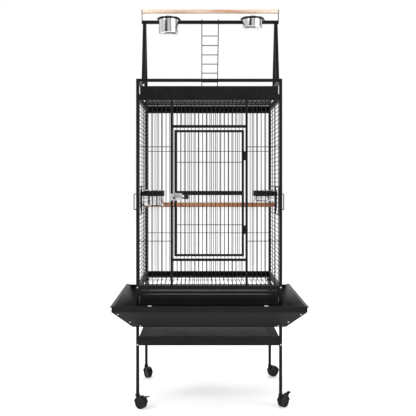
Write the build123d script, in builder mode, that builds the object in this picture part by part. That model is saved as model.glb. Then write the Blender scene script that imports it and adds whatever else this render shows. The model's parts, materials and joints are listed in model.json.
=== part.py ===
"""Bird cage on a wheeled stand, with a play-top. Millimetres, +Z up.

The origin is on the floor under the middle of the cage. The main door faces -Y.
"""
from build123d import *
import math
import os

os.makedirs("parts", exist_ok=True)

# overall sizes
cage_width = 616
cage_depth = 510
total_height = 1738
tube = 13
tube_wall = 1.2
weld_gap = 0.1
wire = 3
wire_pitch = 18
sheet = 1.2

# heights of the main levels, from the floor up
socket_bottom = 54
shelf_bottom = 264
shelf_top = 302
skirt_bottom = 345
skirt_bend = 420
skirt_top = 445
cross_rail_top = 444
tray_bottom = 448
tray_top = 478
grate_bottom = 482.4
stand_top = 500
base_rail_top = 516
cage_top = 1310
guard_top = 1388
crossbar_bottom = 1671.5
crossbar_top = 1686.5

# main door
door_half_width = 147
door_bottom = 639
door_top = 1172
door_tube = 10
opening_post_x = 158
sill_range = (619, 630)
header_range = (1181, 1193)
mid_bar_range = (897, 915)
cross_wire_levels = (703, 1101)
hinge_levels = (752, 1062)
hinge_height = 36
hinge_axis = (150, -258.6)

# feeder doors and cups
feeder_opening_y = (-148, -10)
feeder_opening_z = (813, 928)
feeder_hinge_y = -6
cup_radius = 44
cup_lip = 3
cup_inset = 62
cup_rim_height = 916
cup_depths = {"left": 70, "right": 50}

# play-top
leg_spread = 83
ladder_width = 76
rung_pitch = 49.6
rung_count = 7
play_cup_sizes = {"left": (-179, 44, 77), "right": (195, 45, 51)}
play_cup_reach = 62
perch_radius = 10

# casters: wheel size, how far the axle trails its stem, and the way each one points, in degrees
wheel_radius = 25
wheel_width = 9
web_thickness = 5
caster_trail = 18
stem_radius = 4
caster_turns = {
    "front_left": (-1, -1, -34),
    "front_right": (1, -1, 44),
    "back_left": (-1, 1, -60),
    "back_right": (1, 1, 27),
}

side_x = cage_width / 2
front_y = -cage_depth / 2
back_y = cage_depth / 2
post_x = side_x - tube / 2
post_y = back_y - tube / 2
inner_x = side_x - tube
inner_y = back_y - tube
sides = {"left": -1, "right": 1}


def save(piece, name):
    """Label a finished piece and write it to its own file."""
    piece.part.label = name
    export_step(piece.part, f"parts/{name}.step")


def span(middle, size):
    """The lowest and highest value of a stretch, from its middle and its length."""
    return (middle - size / 2, middle + size / 2)


def mirrored(limits, side):
    """Limits along X on the right-hand side, or the same on the left."""
    return tuple(sorted(value * side for value in limits))


def add_bar(x_range, y_range, z_range):
    """Add a plain block to the part being built, from its limits along X, Y and Z."""
    ranges = (x_range, y_range, z_range)
    with Locations(tuple((low + high) / 2 for low, high in ranges)):
        Box(*(high - low for low, high in ranges))


def add_tube(x_range, y_range, z_range):
    """Add a rectangular tube that fills these limits, hollow along the longest of them."""
    ranges = (x_range, y_range, z_range)
    outer = [high - low for low, high in ranges]
    run = outer.index(max(outer))
    bore = [size if axis == run else size - 2 * tube_wall for axis, size in enumerate(outer)]
    with Locations(tuple((low + high) / 2 for low, high in ranges)):
        Box(*outer)
        Box(*bore, mode=Mode.SUBTRACT)


def evenly(low, high, pitch):
    """Places between two limits at about the given pitch, none of them on the limits."""
    count = round((high - low) / pitch)
    return [low + (high - low) * step / count for step in range(1, count)]


def wire_panel(plane, across, along, upright, level, thickness=wire):
    """A flat panel of welded wires: uprights at these places across, level wires at these along."""
    with BuildPart() as panel:
        with BuildSketch(plane):
            for place in upright:
                with Locations((place, (along[0] + along[1]) / 2)):
                    Rectangle(thickness, along[1] - along[0])
            for place in level:
                with Locations(((across[0] + across[1]) / 2, place)):
                    Rectangle(across[1] - across[0], thickness)
        extrude(amount=thickness / 2, both=True)
    return panel.part


def sheet_box(x_range, y_range, z_range, wall=sheet):
    """A folded sheet tray, open at the top."""
    with BuildPart() as box:
        add_bar(x_range, y_range, z_range)
        add_bar_cut(
            (x_range[0] + wall, x_range[1] - wall),
            (y_range[0] + wall, y_range[1] - wall),
            (z_range[0] + wall, z_range[1]),
        )
    return box.part


def add_bar_cut(x_range, y_range, z_range):
    """Cut a plain block out of the part being built."""
    ranges = (x_range, y_range, z_range)
    with Locations(tuple((low + high) / 2 for low, high in ranges)):
        Box(*(high - low for low, high in ranges), mode=Mode.SUBTRACT)


def steel_cup(centre, radius, top, depth, lip=cup_lip, wall=0.8):
    """A spun steel cup with a rolled lip, standing on a rounded bottom."""
    corner = 8
    bottom = top - depth
    with BuildPart() as cup:
        with BuildSketch(Plane.XZ.offset(-centre[1])):
            with BuildLine():
                Polyline(
                    (centre[0], bottom),
                    (centre[0] + radius - corner, bottom),
                    (centre[0] + radius, bottom + corner),
                    (centre[0] + radius, top - 2),
                    (centre[0] + radius + lip, top - 2),
                    (centre[0] + radius + lip, top),
                    (centre[0] + radius - wall, top),
                    (centre[0] + radius - wall, bottom + corner + wall / 2),
                    (centre[0] + radius - corner - wall / 2, bottom + wall),
                    (centre[0], bottom + wall),
                    close=True,
                )
            make_face()
        revolve(axis=Axis((centre[0], centre[1], 0), (0, 0, 1)))
    return cup.part


# ---- stand ----

for name, side in sides.items():
    leg_limits = mirrored((inner_x, side_x), side)
    runner_limits = mirrored((inner_x - 11, inner_x - weld_gap), side)
    rail_y = (-inner_y + weld_gap, inner_y - weld_gap)
    with BuildPart() as stand_side:
        for middle in (-post_y, post_y):
            add_tube(leg_limits, span(middle, tube), (socket_bottom + 3, stand_top))
        add_tube(leg_limits, rail_y, (stand_top - tube, stand_top))
        add_tube(leg_limits, rail_y, (cross_rail_top - tube, cross_rail_top))
        add_bar(runner_limits, rail_y, (tray_bottom - 3, tray_bottom - 0.5))
        add_bar(runner_limits, rail_y, (grate_bottom - 2.4, grate_bottom - 0.4))
    save(stand_side, f"stand_side_{name}")

cross_rail_x = (-inner_x + weld_gap, inner_x - weld_gap)
with BuildPart() as stand_cross_rails:
    for middle in (-post_y, post_y):
        add_tube(cross_rail_x, span(middle, tube), (cross_rail_top - tube, cross_rail_top))
    add_tube(cross_rail_x, span(post_y, tube), (stand_top - tube, stand_top))
save(stand_cross_rails, "stand_cross_rails")

# plastic plugs in the feet of the legs, which hold the caster stems
with BuildPart() as leg_sockets:
    with Locations(*[(x, y, socket_bottom) for x in (-post_x, post_x) for y in (-post_y, post_y)]):
        Box(19, 19, 3, align=(Align.CENTER, Align.CENTER, Align.MIN))
        Box(
            tube - 2 * tube_wall - 0.1,
            tube - 2 * tube_wall - 0.1,
            28,
            align=(Align.CENTER, Align.CENTER, Align.MIN),
        )
        Cylinder(
            stem_radius + 0.05,
            28,
            align=(Align.CENTER, Align.CENTER, Align.MIN),
            mode=Mode.SUBTRACT,
        )
save(leg_sockets, "leg_sockets")

# storage shelf: an upright rim round a shallow pan with sloping walls
shelf_x = inner_x - 0.3
shelf_y = back_y - 1
pan_floor_x = 265
pan_floor_y = 214
pan_floor_z = shelf_bottom + 6
with BuildPart() as storage_shelf:
    add_bar((-shelf_x, shelf_x), (-shelf_y, shelf_y), (shelf_bottom, shelf_top))
    add_bar_cut(
        (-shelf_x + sheet, shelf_x - sheet),
        (-shelf_y + sheet, shelf_y - sheet),
        (shelf_bottom, shelf_top),
    )
    with BuildSketch(Plane.XY.offset(shelf_top)):
        Rectangle(2 * shelf_x, 2 * shelf_y)
    with BuildSketch(Plane.XY.offset(pan_floor_z)):
        Rectangle(2 * pan_floor_x, 2 * pan_floor_y)
    loft()
    with BuildSketch(Plane.XY.offset(shelf_top)):
        Rectangle(2 * (shelf_x - sheet - 1), 2 * (shelf_y - sheet - 1))
    with BuildSketch(Plane.XY.offset(pan_floor_z + sheet)):
        Rectangle(2 * (pan_floor_x - 1), 2 * (pan_floor_y - 1))
    loft(mode=Mode.SUBTRACT)
save(storage_shelf, "storage_shelf")

# seed skirt: each panel leans out from the stand, then stands up in a lip
skirt_foot = 14
skirt_lip = 93
skirt_sheet = 1.5
skirt_tab = 16
skirt_slope = math.atan2(skirt_lip - skirt_foot, skirt_bend - skirt_bottom)


def mitred_strip(height, half_length, reach, out, end_out, thickness):
    """A panel's section at one height: a strip with mitred ends."""
    outer = half_length + end_out - weld_gap
    with BuildSketch(Plane.XY.offset(height)) as strip:
        with BuildLine():
            Polyline(
                (-outer, -reach - out),
                (outer, -reach - out),
                (outer - thickness, -reach - out + thickness),
                (-outer + thickness, -reach - out + thickness),
                close=True,
            )
        make_face()
    return strip.sketch


def skirt_panel(half_length, reach, turn, levels):
    """One skirt panel through its levels, turned about Z to its side of the stand.

    Each level is a height, how far out the panel is there, and how far its ends reach.
    """
    strips = [
        mitred_strip(height, half_length, reach, out, end_out, skirt_sheet)
        for height, out, end_out in levels
    ]
    with BuildPart() as panel:
        for low_strip, high_strip in zip(strips, strips[1:]):
            add([low_strip, high_strip])
            loft()
        for end in (-1, 1):
            tab_middle = end * (half_length - skirt_tab / 2)
            add_bar(
                span(tab_middle, skirt_tab - 4),
                (-reach - skirt_foot, -reach - weld_gap),
                (skirt_bottom, skirt_bottom + 2),
            )
    return panel.part.rotate(Axis.Z, turn)


# the front and back panels stand up in a lip; the side panels end in a flange that turns outward
skirt_back_top = 437
skirt_side_top = 441
skirt_side_out = 88
flange_width = 12
foot_flange = 10
foot_flange_half = 277.5
end_inset = skirt_sheet + weld_gap
side_end = skirt_lip - end_inset
flange_middle = skirt_side_top - skirt_sheet / 2
side_rise = (skirt_bend - skirt_bottom) / (flange_middle - skirt_bottom)
side_bend_out = skirt_foot + side_rise * (skirt_side_out - skirt_foot)
lip_levels = [(skirt_bottom, skirt_foot, skirt_foot), (skirt_bend, skirt_lip, skirt_lip)]
flange_levels = [
    (skirt_bottom, skirt_foot, skirt_foot - end_inset),
    (skirt_bend, side_bend_out, side_end),
    (flange_middle, skirt_side_out, side_end),
]
skirt_sides = {
    "front": (side_x, back_y, 0, lip_levels + [(skirt_top, skirt_lip, skirt_lip)]),
    "right": (back_y, side_x, 90, flange_levels),
    "back": (side_x, back_y, 180, lip_levels + [(skirt_back_top, skirt_lip, skirt_lip)]),
    "left": (back_y, side_x, 270, flange_levels),
}
for name, (half_length, reach, turn, levels) in skirt_sides.items():
    skirt = skirt_panel(half_length, reach, turn, levels)
    with BuildPart() as skirt_side:
        add(skirt)
        if name in sides:
            flange_x = (side_x + skirt_side_out - skirt_sheet, side_x + skirt_side_out + flange_width)
            add_bar(
                mirrored(flange_x, sides[name]),
                span(0, 2 * (back_y + side_end - weld_gap)),
                (skirt_side_top - skirt_sheet, skirt_side_top),
            )
        if name == "back":
            add_bar(
                (-foot_flange_half, foot_flange_half),
                (back_y + skirt_foot - skirt_sheet, back_y + skirt_foot),
                (skirt_bottom - foot_flange, skirt_bottom + 1),
            )
    save(skirt_side, f"skirt_{name}")

# screws beside each mitre, and one at each foot, square to the sloping panel
screw_radius = 3.5
screw_height = 2.5
skirt_screw_places = ((375, 410), (329, 371), (288, 351))
screw_stand_off = weld_gap + screw_height / 2
with BuildPart() as skirt_screws:
    for facing in (-1, 1):
        for x, z in skirt_screw_places:
            out = back_y + skirt_foot + (z - skirt_bottom) * math.tan(skirt_slope)
            y = facing * (out + screw_stand_off * math.cos(skirt_slope))
            level = z - screw_stand_off * math.sin(skirt_slope)
            tilt = -facing * (90 + math.degrees(skirt_slope))
            with Locations(*[Location((side * x, y, level), (tilt, 0, 0)) for side in (-1, 1)]):
                Cylinder(screw_radius, screw_height)
save(skirt_screws, "skirt_screws")

# screws that join the cage to the stand and the shelf to the legs
with BuildPart() as frame_screws:
    for facing in (-1, 1):
        with BuildSketch(Plane.XZ.offset(-facing * (back_y + weld_gap))):
            with Locations(*[(side * post_x, level) for side in (-1, 1) for level in (267, 508)]):
                Circle(screw_radius)
        extrude(amount=-facing * screw_height)
save(frame_screws, "frame_screws")

# ---- casters ----

hood_radius = 28
hood_wall = 1.8
hood_half_width = 13
brake_pivot = (40, 50)


def caster_planes(x_sign, y_sign, turn):
    """The upright plane through a caster's middle, and the line its brake turns about."""
    way = math.radians(turn)
    forward = (math.cos(way), math.sin(way), 0)
    across = (-math.sin(way), math.cos(way), 0)
    foot = (x_sign * post_x, y_sign * post_y, 0)
    return Plane(origin=foot, x_dir=forward, z_dir=tuple(-value for value in across))


def caster_hood(plane, has_brake):
    """Hood, middle web and stem in one moulding, with ears for the brake lever."""
    with BuildPart() as hood:
        with BuildSketch(plane):
            with Locations((caster_trail, wheel_radius)):
                Circle(17)
            with BuildLine():
                Polyline((-8, 51), (-8, 38), (caster_trail, 24), (34, 44), (22, 51), close=True)
            make_face()
        extrude(amount=web_thickness / 2, both=True)
        with BuildSketch(plane):
            with Locations((caster_trail, wheel_radius)):
                Circle(hood_radius)
                Circle(hood_radius - hood_wall, mode=Mode.SUBTRACT)
                with Locations((0, -hood_radius / 2 - 3)):
                    Rectangle(2 * hood_radius, hood_radius + 12, mode=Mode.SUBTRACT)
        extrude(amount=hood_half_width, both=True)
        with BuildSketch(plane):
            with Locations((-3.5, 51)):
                Rectangle(17, 4.6)
        extrude(amount=8, both=True)
        with BuildSketch(plane):
            with Locations((caster_trail, wheel_radius)):
                Circle(3.05)
        extrude(amount=web_thickness, both=True, mode=Mode.SUBTRACT)
        with BuildSketch(Plane.XY.offset(51).shift_origin((plane.origin.X, plane.origin.Y, 51))):
            Circle(stem_radius)
        extrude(amount=28)
        if has_brake:
            for flank in (-1, 1):
                with BuildSketch(plane.offset(flank * 9.7)):
                    with BuildLine():
                        Polyline((30, 50.2), (37, 45.5), (44, 44), (44, 53), (36, 54), close=True)
                    make_face()
                extrude(amount=1, both=True)
            with BuildSketch(plane):
                with Locations(brake_pivot):
                    Circle(1.5)
            extrude(amount=10, both=True)
    return hood.part


def caster_wheels(plane):
    """The two wheels of one caster, and the axle between them."""
    inner_face = web_thickness / 2 + 0.4
    with BuildPart() as wheels:
        for flank in (-1, 1):
            with BuildSketch(plane.offset(flank * inner_face)):
                with Locations((caster_trail, wheel_radius)):
                    Circle(wheel_radius)
            extrude(amount=flank * wheel_width)
        with BuildSketch(plane):
            with Locations((caster_trail, wheel_radius)):
                Circle(3)
        extrude(amount=inner_face - 0.05, both=True)
    return wheels.part


def caster_brake(plane):
    """The foot lever that clips on the hood's ears and presses down on the wheels."""
    with BuildPart() as lever:
        with BuildSketch(plane):
            with Locations(brake_pivot):
                Circle(3.4)
            with BuildLine():
                Polyline((39, 49.6), (58, 56), (57, 59), (38, 52.8), close=True)
            make_face()
        extrude(amount=8.2, both=True)
        with BuildSketch(plane):
            with Locations(brake_pivot):
                Circle(1.55)
        extrude(amount=8.2, both=True, mode=Mode.SUBTRACT)
    return lever.part


for name, (x_sign, y_sign, turn) in caster_turns.items():
    caster_plane = caster_planes(x_sign, y_sign, turn)
    braked = y_sign < 0
    hood_shape = caster_hood(caster_plane, braked)
    wheels_shape = caster_wheels(caster_plane)
    with BuildPart() as hood_part:
        add(hood_shape)
    save(hood_part, f"caster_hood_{name}")
    with BuildPart() as wheels_part:
        add(wheels_shape)
    save(wheels_part, f"caster_wheels_{name}")
    if braked:
        brake_shape = caster_brake(caster_plane)
        with BuildPart() as brake_part:
            add(brake_shape)
        save(brake_part, f"caster_brake_{name}")

# ---- cage body ----

back_band = 23
long_rail_x = (-inner_x + weld_gap, inner_x - weld_gap)
side_rail_y = (-inner_y + weld_gap, inner_y - weld_gap)
post_z = (stand_top + weld_gap, cage_top)
wire_z = (base_rail_top + weld_gap, cage_top - tube - weld_gap)
opening_inner = opening_post_x - door_tube / 2

with BuildPart() as front_frame:
    for middle in (-post_x, post_x):
        add_tube(span(middle, tube), span(-post_y, tube), post_z)
    add_tube(long_rail_x, span(-post_y, tube), (stand_top + weld_gap, base_rail_top))
    add_tube(long_rail_x, span(-post_y, tube), (cage_top - tube, cage_top))
    for middle in (-opening_post_x, opening_post_x):
        add_tube(span(middle, door_tube), span(-post_y, door_tube), wire_z)
save(front_frame, "front_frame")

with BuildPart() as back_frame:
    for middle in (-post_x, post_x):
        add_tube(span(middle, tube), span(post_y, tube), post_z)
    add_tube(long_rail_x, span(post_y, tube), (stand_top + weld_gap, base_rail_top))
    add_tube(long_rail_x, span(post_y, tube), (cage_top - back_band, cage_top))
save(back_frame, "back_frame")

front_plane = Plane.XZ.offset(post_y)
outer_opening = opening_post_x + door_tube / 2
front_grids = [
    wire_panel(
        front_plane,
        mirrored((outer_opening + weld_gap, inner_x - weld_gap), side),
        wire_z,
        evenly(*mirrored((outer_opening, inner_x), side), wire_pitch),
        cross_wire_levels,
    )
    for side in sides.values()
]
short_wires = evenly(-opening_inner, opening_inner, wire_pitch)
bar_x = (-opening_inner + weld_gap, opening_inner - weld_gap)
header_comb = wire_panel(front_plane, bar_x, (header_range[1] - 1, wire_z[1]), short_wires, ())
sill_comb = wire_panel(front_plane, bar_x, (wire_z[0], sill_range[0] + 1), short_wires, ())
with BuildPart() as front_wires:
    add(front_grids)
    add(header_comb)
    add(sill_comb)
    for bar_z in (header_range, sill_range):
        add_bar(bar_x, span(-post_y, door_tube), bar_z)
save(front_wires, "front_wires")

back_grid = wire_panel(
    Plane.XZ.offset(-post_y),
    long_rail_x,
    (wire_z[0], cage_top - back_band - weld_gap),
    evenly(-inner_x, inner_x, wire_pitch),
    cross_wire_levels,
)
with BuildPart() as back_wires:
    add(back_grid)
save(back_wires, "back_wires")

# side panels: level wires, held by a few uprights, with an opening for the feeder door
side_levels = evenly(base_rail_top, cage_top - tube, wire_pitch)
side_uprights = (feeder_opening_y[0] - wire / 2, feeder_opening_y[1] + wire / 2, 120)
opening_border = (feeder_opening_z[0] - wire / 2, feeder_opening_z[1] + wire / 2)
side_regions = (
    (side_rail_y, (wire_z[0], feeder_opening_z[0]), opening_border[:1]),
    (side_rail_y, (feeder_opening_z[1], wire_z[1]), opening_border[1:]),
    ((side_rail_y[0], feeder_opening_y[0]), feeder_opening_z, ()),
    ((feeder_opening_y[1], side_rail_y[1]), feeder_opening_z, ()),
)
feeder_pin_x = side_x
feeder_pin_radius = 1.5
feeder_pin_z = (834, 906)
hinge_lug = 8

for name, side in sides.items():
    side_grids = []
    for across, along, borders in side_regions:
        inside = (along[0] + weld_gap, along[1] - weld_gap)
        side_grids.append(
            wire_panel(
                Plane.YZ.offset(side * post_x),
                across,
                inside,
                [place for place in side_uprights if across[0] - wire < place < across[1] + wire],
                [z for z in side_levels if inside[0] + wire < z < inside[1] - wire] + list(borders),
            )
        )
    with BuildPart() as side_frame:
        side_limits = mirrored((inner_x, side_x), side)
        add_tube(side_limits, side_rail_y, (stand_top + weld_gap, base_rail_top))
        add_tube(side_limits, side_rail_y, (cage_top - tube, cage_top))
    save(side_frame, f"{name}_frame")
    with BuildPart() as side_wires:
        add(side_grids)
        for lug_z in (feeder_pin_z[0] - hinge_lug, feeder_pin_z[1]):
            add_bar(
                mirrored((post_x + wire / 2 + 0.05, side_x + 2), side),
                span(feeder_hinge_y, 5),
                (lug_z, lug_z + hinge_lug),
            )
        with Locations((side * feeder_pin_x, feeder_hinge_y, feeder_pin_z[0] - 1)):
            Cylinder(
                feeder_pin_radius,
                feeder_pin_z[1] - feeder_pin_z[0] + 2,
                align=(Align.CENTER, Align.CENTER, Align.MIN),
            )
    save(side_wires, f"{name}_wires")

top_wire_level = cage_top + tube / 2
top_grid = wire_panel(
    Plane.XY.offset(top_wire_level),
    long_rail_x,
    side_rail_y,
    evenly(-inner_x, inner_x, wire_pitch),
    (-120, 0, 120),
)
with BuildPart() as top_panel:
    add(top_grid)
save(top_panel, "top_panel")

# ---- main door ----

stile_x = door_half_width - door_tube / 2
door_inner = door_half_width - door_tube
door_rail_x = (-door_inner + weld_gap, door_inner - weld_gap)
door_front = -post_y - door_tube / 2

with BuildPart() as door_frame:
    for middle in (-stile_x, stile_x):
        add_tube(span(middle, door_tube), span(-post_y, door_tube), (door_bottom, door_top))
    for rail_z in (
        (door_bottom, door_bottom + door_tube),
        mid_bar_range,
        (door_top - door_tube, door_top),
    ):
        add_tube(door_rail_x, span(-post_y, door_tube), rail_z)
save(door_frame, "door_frame")

door_uprights = evenly(-door_inner, door_inner, wire_pitch)
door_grids = [
    wire_panel(front_plane, door_rail_x, (low + weld_gap, high - weld_gap), door_uprights, (level,))
    for low, high, level in (
        (door_bottom + door_tube, mid_bar_range[0], 772),
        (mid_bar_range[1], door_top - door_tube, 1036),
    )
]
with BuildPart() as door_wires:
    add(door_grids)
save(door_wires, "door_wires")

# butt hinges: the pin is fixed in the two end knuckles, and the door's knuckle turns on it
knuckle_radius = 4.2
pin_radius = 2.5
end_knuckle = 10
leaf_y = (door_front - 1.9, door_front - 0.1)
with BuildPart() as door_hinge_brackets:
    for level in hinge_levels:
        bottom, top = span(level, hinge_height)
        for knuckle_z in ((bottom, bottom + end_knuckle), (top - end_knuckle, top)):
            with Locations((*hinge_axis, knuckle_z[0])):
                Cylinder(knuckle_radius, end_knuckle, align=(Align.CENTER, Align.CENTER, Align.MIN))
            add_bar((hinge_axis[0], opening_post_x + 4), leaf_y, knuckle_z)
        add_bar((opening_post_x - 3, opening_post_x + 4), leaf_y, (bottom, top))
        with Locations((*hinge_axis, level)):
            Cylinder(pin_radius, hinge_height)
save(door_hinge_brackets, "door_hinge_brackets")

with BuildPart() as door_hinge_barrels:
    for level in hinge_levels:
        barrel_z = span(level, hinge_height - 2 * end_knuckle - 0.8)
        with Locations((*hinge_axis, level)):
            Cylinder(knuckle_radius, barrel_z[1] - barrel_z[0])
        add_bar((door_inner + 1, hinge_axis[0]), leaf_y, barrel_z)
        with Locations((*hinge_axis, level)):
            Cylinder(pin_radius + 0.05, hinge_height, mode=Mode.SUBTRACT)
save(door_hinge_barrels, "door_hinge_barrels")

# slide latch: housing on the door, bolt with a thumb knob, keeper on the opening's post
bolt_radius = 3.5
bolt_level = 886
bolt_y = door_front - 6
latch_y = (door_front - 11, door_front - 0.1)
bolt_x = (-151.9, -104)
housing_x = (-144, -113)
keeper_x = (-168, -152.4)
knob_x = (-104.5, -86)

with BuildPart() as latch_housing:
    add_bar(housing_x, latch_y, (875, 906))
    fillet(latch_housing.edges().filter_by(Axis.Y), radius=3)
    with Locations(Location((-128, bolt_y, bolt_level), (0, 90, 0))):
        Cylinder(bolt_radius + 0.08, 60, mode=Mode.SUBTRACT)
save(latch_housing, "latch_housing")

with BuildPart() as latch_keeper:
    add_bar(keeper_x, latch_y, (875, 904))
    fillet(latch_keeper.edges().filter_by(Axis.Y), radius=3)
    with Locations(Location((keeper_x[1] - 6, bolt_y, bolt_level), (0, 90, 0))):
        Cylinder(bolt_radius + 0.3, 14, mode=Mode.SUBTRACT)
save(latch_keeper, "latch_keeper")

with BuildPart() as latch_bolt:
    with Locations(Location((sum(bolt_x) / 2, bolt_y, bolt_level), (0, 90, 0))):
        Cylinder(bolt_radius, bolt_x[1] - bolt_x[0])
    add_bar(knob_x, (door_front - 10, door_front - 0.8), (880, 903))
    fillet(latch_bolt.edges().filter_by(Axis.Y).group_by(Axis.X)[-1], radius=5)
save(latch_bolt, "latch_bolt")

# ---- feeder doors, with their cups ----

feeder_panel_x = side_x - 2.8
panel_border = 4
door_y = (feeder_opening_y[0] - 4, feeder_hinge_y - 3.5)
door_z = (feeder_opening_z[0] - 4, feeder_opening_z[1] + 4)
barrel_radius = 3
cup_x = feeder_panel_x - cup_inset
cup_y = feeder_hinge_y - 66
ring_inner = cup_radius + 0.7
ring_outer = ring_inner + 1.5
ring_top = cup_rim_height - 2.3
ring_height = 24
boss_y = -141
boss_z = (845, 875)
spindle_x = side_x + 3.5
bail_reach = 15
bail_corner = 5.3
bail_z = (830, 902)
bail_rod = 4

for name, side in sides.items():
    door_grid = wire_panel(
        Plane.YZ.offset(side * feeder_panel_x),
        door_y,
        door_z,
        (door_y[0] + panel_border / 2, door_y[1] - panel_border / 2),
        [z for z in side_levels if door_z[0] + 8 < z < door_z[1] - 8]
        + [door_z[0] + panel_border / 2, door_z[1] - panel_border / 2],
        thickness=3.5,
    )
    with BuildPart() as feeder_door:
        add(door_grid)
        add_bar(
            mirrored((feeder_panel_x - 1.5, feeder_panel_x + 1.5), side),
            (door_y[1] - 2, feeder_hinge_y),
            (feeder_pin_z[0] + 0.4, feeder_pin_z[1] - 0.4),
        )
        with Locations((side * feeder_pin_x, feeder_hinge_y, sum(feeder_pin_z) / 2)):
            Cylinder(barrel_radius, feeder_pin_z[1] - feeder_pin_z[0] - 0.8)
            Cylinder(feeder_pin_radius + 0.05, 100, mode=Mode.SUBTRACT)
        add_bar(mirrored((feeder_panel_x + 1.4, spindle_x + 4), side), span(boss_y, 10), boss_z)
        add_bar(
            mirrored((feeder_panel_x - 1.75, feeder_panel_x + 1.75), side),
            span(boss_y, 14),
            door_z,
        )
        with Locations((side * spindle_x, boss_y, sum(boss_z) / 2)):
            Cylinder(bail_rod / 2 + 0.05, boss_z[1] - boss_z[0], mode=Mode.SUBTRACT)
    save(feeder_door, f"feeder_door_{name}")

    # a band that the cup drops into, on two straps from the door
    strap_offset = 20
    strap_end = cup_x + math.sqrt(ring_outer**2 - strap_offset**2) - 1
    with BuildPart() as feeder_holder:
        with Locations((side * cup_x, cup_y, ring_top - ring_height / 2)):
            Cylinder(ring_outer, ring_height)
            Cylinder(ring_inner, ring_height, mode=Mode.SUBTRACT)
        for offset in (-strap_offset, strap_offset):
            add_bar(
                mirrored((strap_end, feeder_panel_x - 1.85), side),
                span(cup_y + offset, 2),
                (ring_top - ring_height, ring_top - 4),
            )
    save(feeder_holder, f"feeder_holder_{name}")

    # the bail turns in the boss; its spindle is one side of the loop
    with BuildPart() as feeder_latch:
        with BuildSketch(Plane.XZ.offset(-boss_y)):
            with Locations((side * (spindle_x + bail_reach / 2), sum(bail_z) / 2)):
                RectangleRounded(bail_reach + bail_rod, bail_z[1] - bail_z[0], bail_corner + bail_rod)
                RectangleRounded(
                    bail_reach - bail_rod,
                    bail_z[1] - bail_z[0] - 2 * bail_rod,
                    bail_corner,
                    mode=Mode.SUBTRACT,
                )
        extrude(amount=bail_rod / 2, both=True)
        with Locations((side * spindle_x, boss_y, sum(boss_z) / 2)):
            Box(bail_rod, bail_rod, boss_z[1] - boss_z[0] + 1, mode=Mode.SUBTRACT)
            Cylinder(bail_rod / 2, boss_z[1] - boss_z[0] + 2)
    save(feeder_latch, f"feeder_latch_{name}")

    cup_shape = steel_cup((side * cup_x, cup_y), cup_radius, cup_rim_height, cup_depths[name])
    with BuildPart() as feeder_cup:
        add(cup_shape)
    save(feeder_cup, f"feeder_cup_{name}")

# ---- inner perch ----

inner_perch_level = 848
inner_perch_y = 16
inner_perch_radius = 11
inner_perch_x = post_x - wire / 2 - 0.3
screw_shank = 2.9
with BuildPart() as inner_perch:
    with Locations(Location((0, inner_perch_y, inner_perch_level), (0, 90, 0))):
        Cylinder(inner_perch_radius, 2 * inner_perch_x)
    with Locations(
        *[
            Location((end * inner_perch_x, inner_perch_y, inner_perch_level), (0, 90, 0))
            for end in (-1, 1)
        ]
    ):
        Cylinder(screw_shank + 0.1, 60, mode=Mode.SUBTRACT)
save(inner_perch, "inner_perch")

washer_x = post_x + wire / 2 + 0.1
with BuildPart() as inner_perch_fixings:
    for side in (-1, 1):
        for radius, low, high in (
            (12, washer_x, washer_x + 1.5),
            (5.5, washer_x + 1.4, washer_x + 8),
            (screw_shank, inner_perch_x - 28, washer_x + 11),
        ):
            middle = (side * (low + high) / 2, inner_perch_y, inner_perch_level)
            with Locations(Location(middle, (0, 90, 0))):
                Cylinder(radius, high - low)
        add_bar(
            mirrored((washer_x + 2.5, washer_x + 9), side),
            span(inner_perch_y, 3),
            span(inner_perch_level, 24),
        )
save(inner_perch_fixings, "inner_perch_fixings")

# ---- floor grate and tray ----

slide_x = inner_x - 3.5
slide_back = inner_y - 1
grate_level = grate_bottom + 4.5
tray_shape = sheet_box((-slide_x, slide_x), (front_y + 1, slide_back), (tray_bottom, tray_top))
tray_back_height = 4
with BuildPart() as floor_tray:
    add(tray_shape)
    add_bar_cut(
        (-slide_x + sheet + 1, slide_x - sheet - 1),
        (slide_back - 2 * sheet, slide_back + 1),
        (tray_bottom + tray_back_height, tray_top + 1),
    )
save(floor_tray, "floor_tray")

grate_grid = wire_panel(
    Plane.XY.offset(grate_level),
    (-slide_x, slide_x),
    (front_y + 4, slide_back),
    [-slide_x + 2] + evenly(-slide_x, slide_x, wire_pitch) + [slide_x - 2],
    (-150, 0, 150, slide_back - 2),
)
with BuildPart() as floor_grate:
    add(grate_grid)
    add_bar((-slide_x, slide_x), (front_y + 0.5, front_y + 5.5), (grate_bottom, grate_bottom + 10.6))
save(floor_grate, "floor_grate")

# ---- play-top ----

guard_rail_z = (guard_top - tube, guard_top)
base_rail_z = (cage_top + weld_gap, cage_top + tube)
with BuildPart() as play_base_frame:
    for x in (-post_x, post_x):
        for y in (-post_y, post_y):
            add_tube(span(x, tube), span(y, tube), (cage_top + weld_gap, guard_top))
    for rail_z in (base_rail_z, guard_rail_z):
        for y in (-post_y, post_y):
            add_tube(long_rail_x, span(y, tube), rail_z)
        for x in (-post_x, post_x):
            add_tube(span(x, tube), side_rail_y, rail_z)
save(play_base_frame, "play_base_frame")

play_tray_bottom = cage_top + tube + 0.8
play_tray_top = 1357
play_tray_shape = sheet_box(
    (-slide_x, slide_x), (front_y + 1, slide_back), (play_tray_bottom, play_tray_top)
)
with BuildPart() as play_tray:
    add(play_tray_shape)
save(play_tray, "play_tray")

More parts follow.
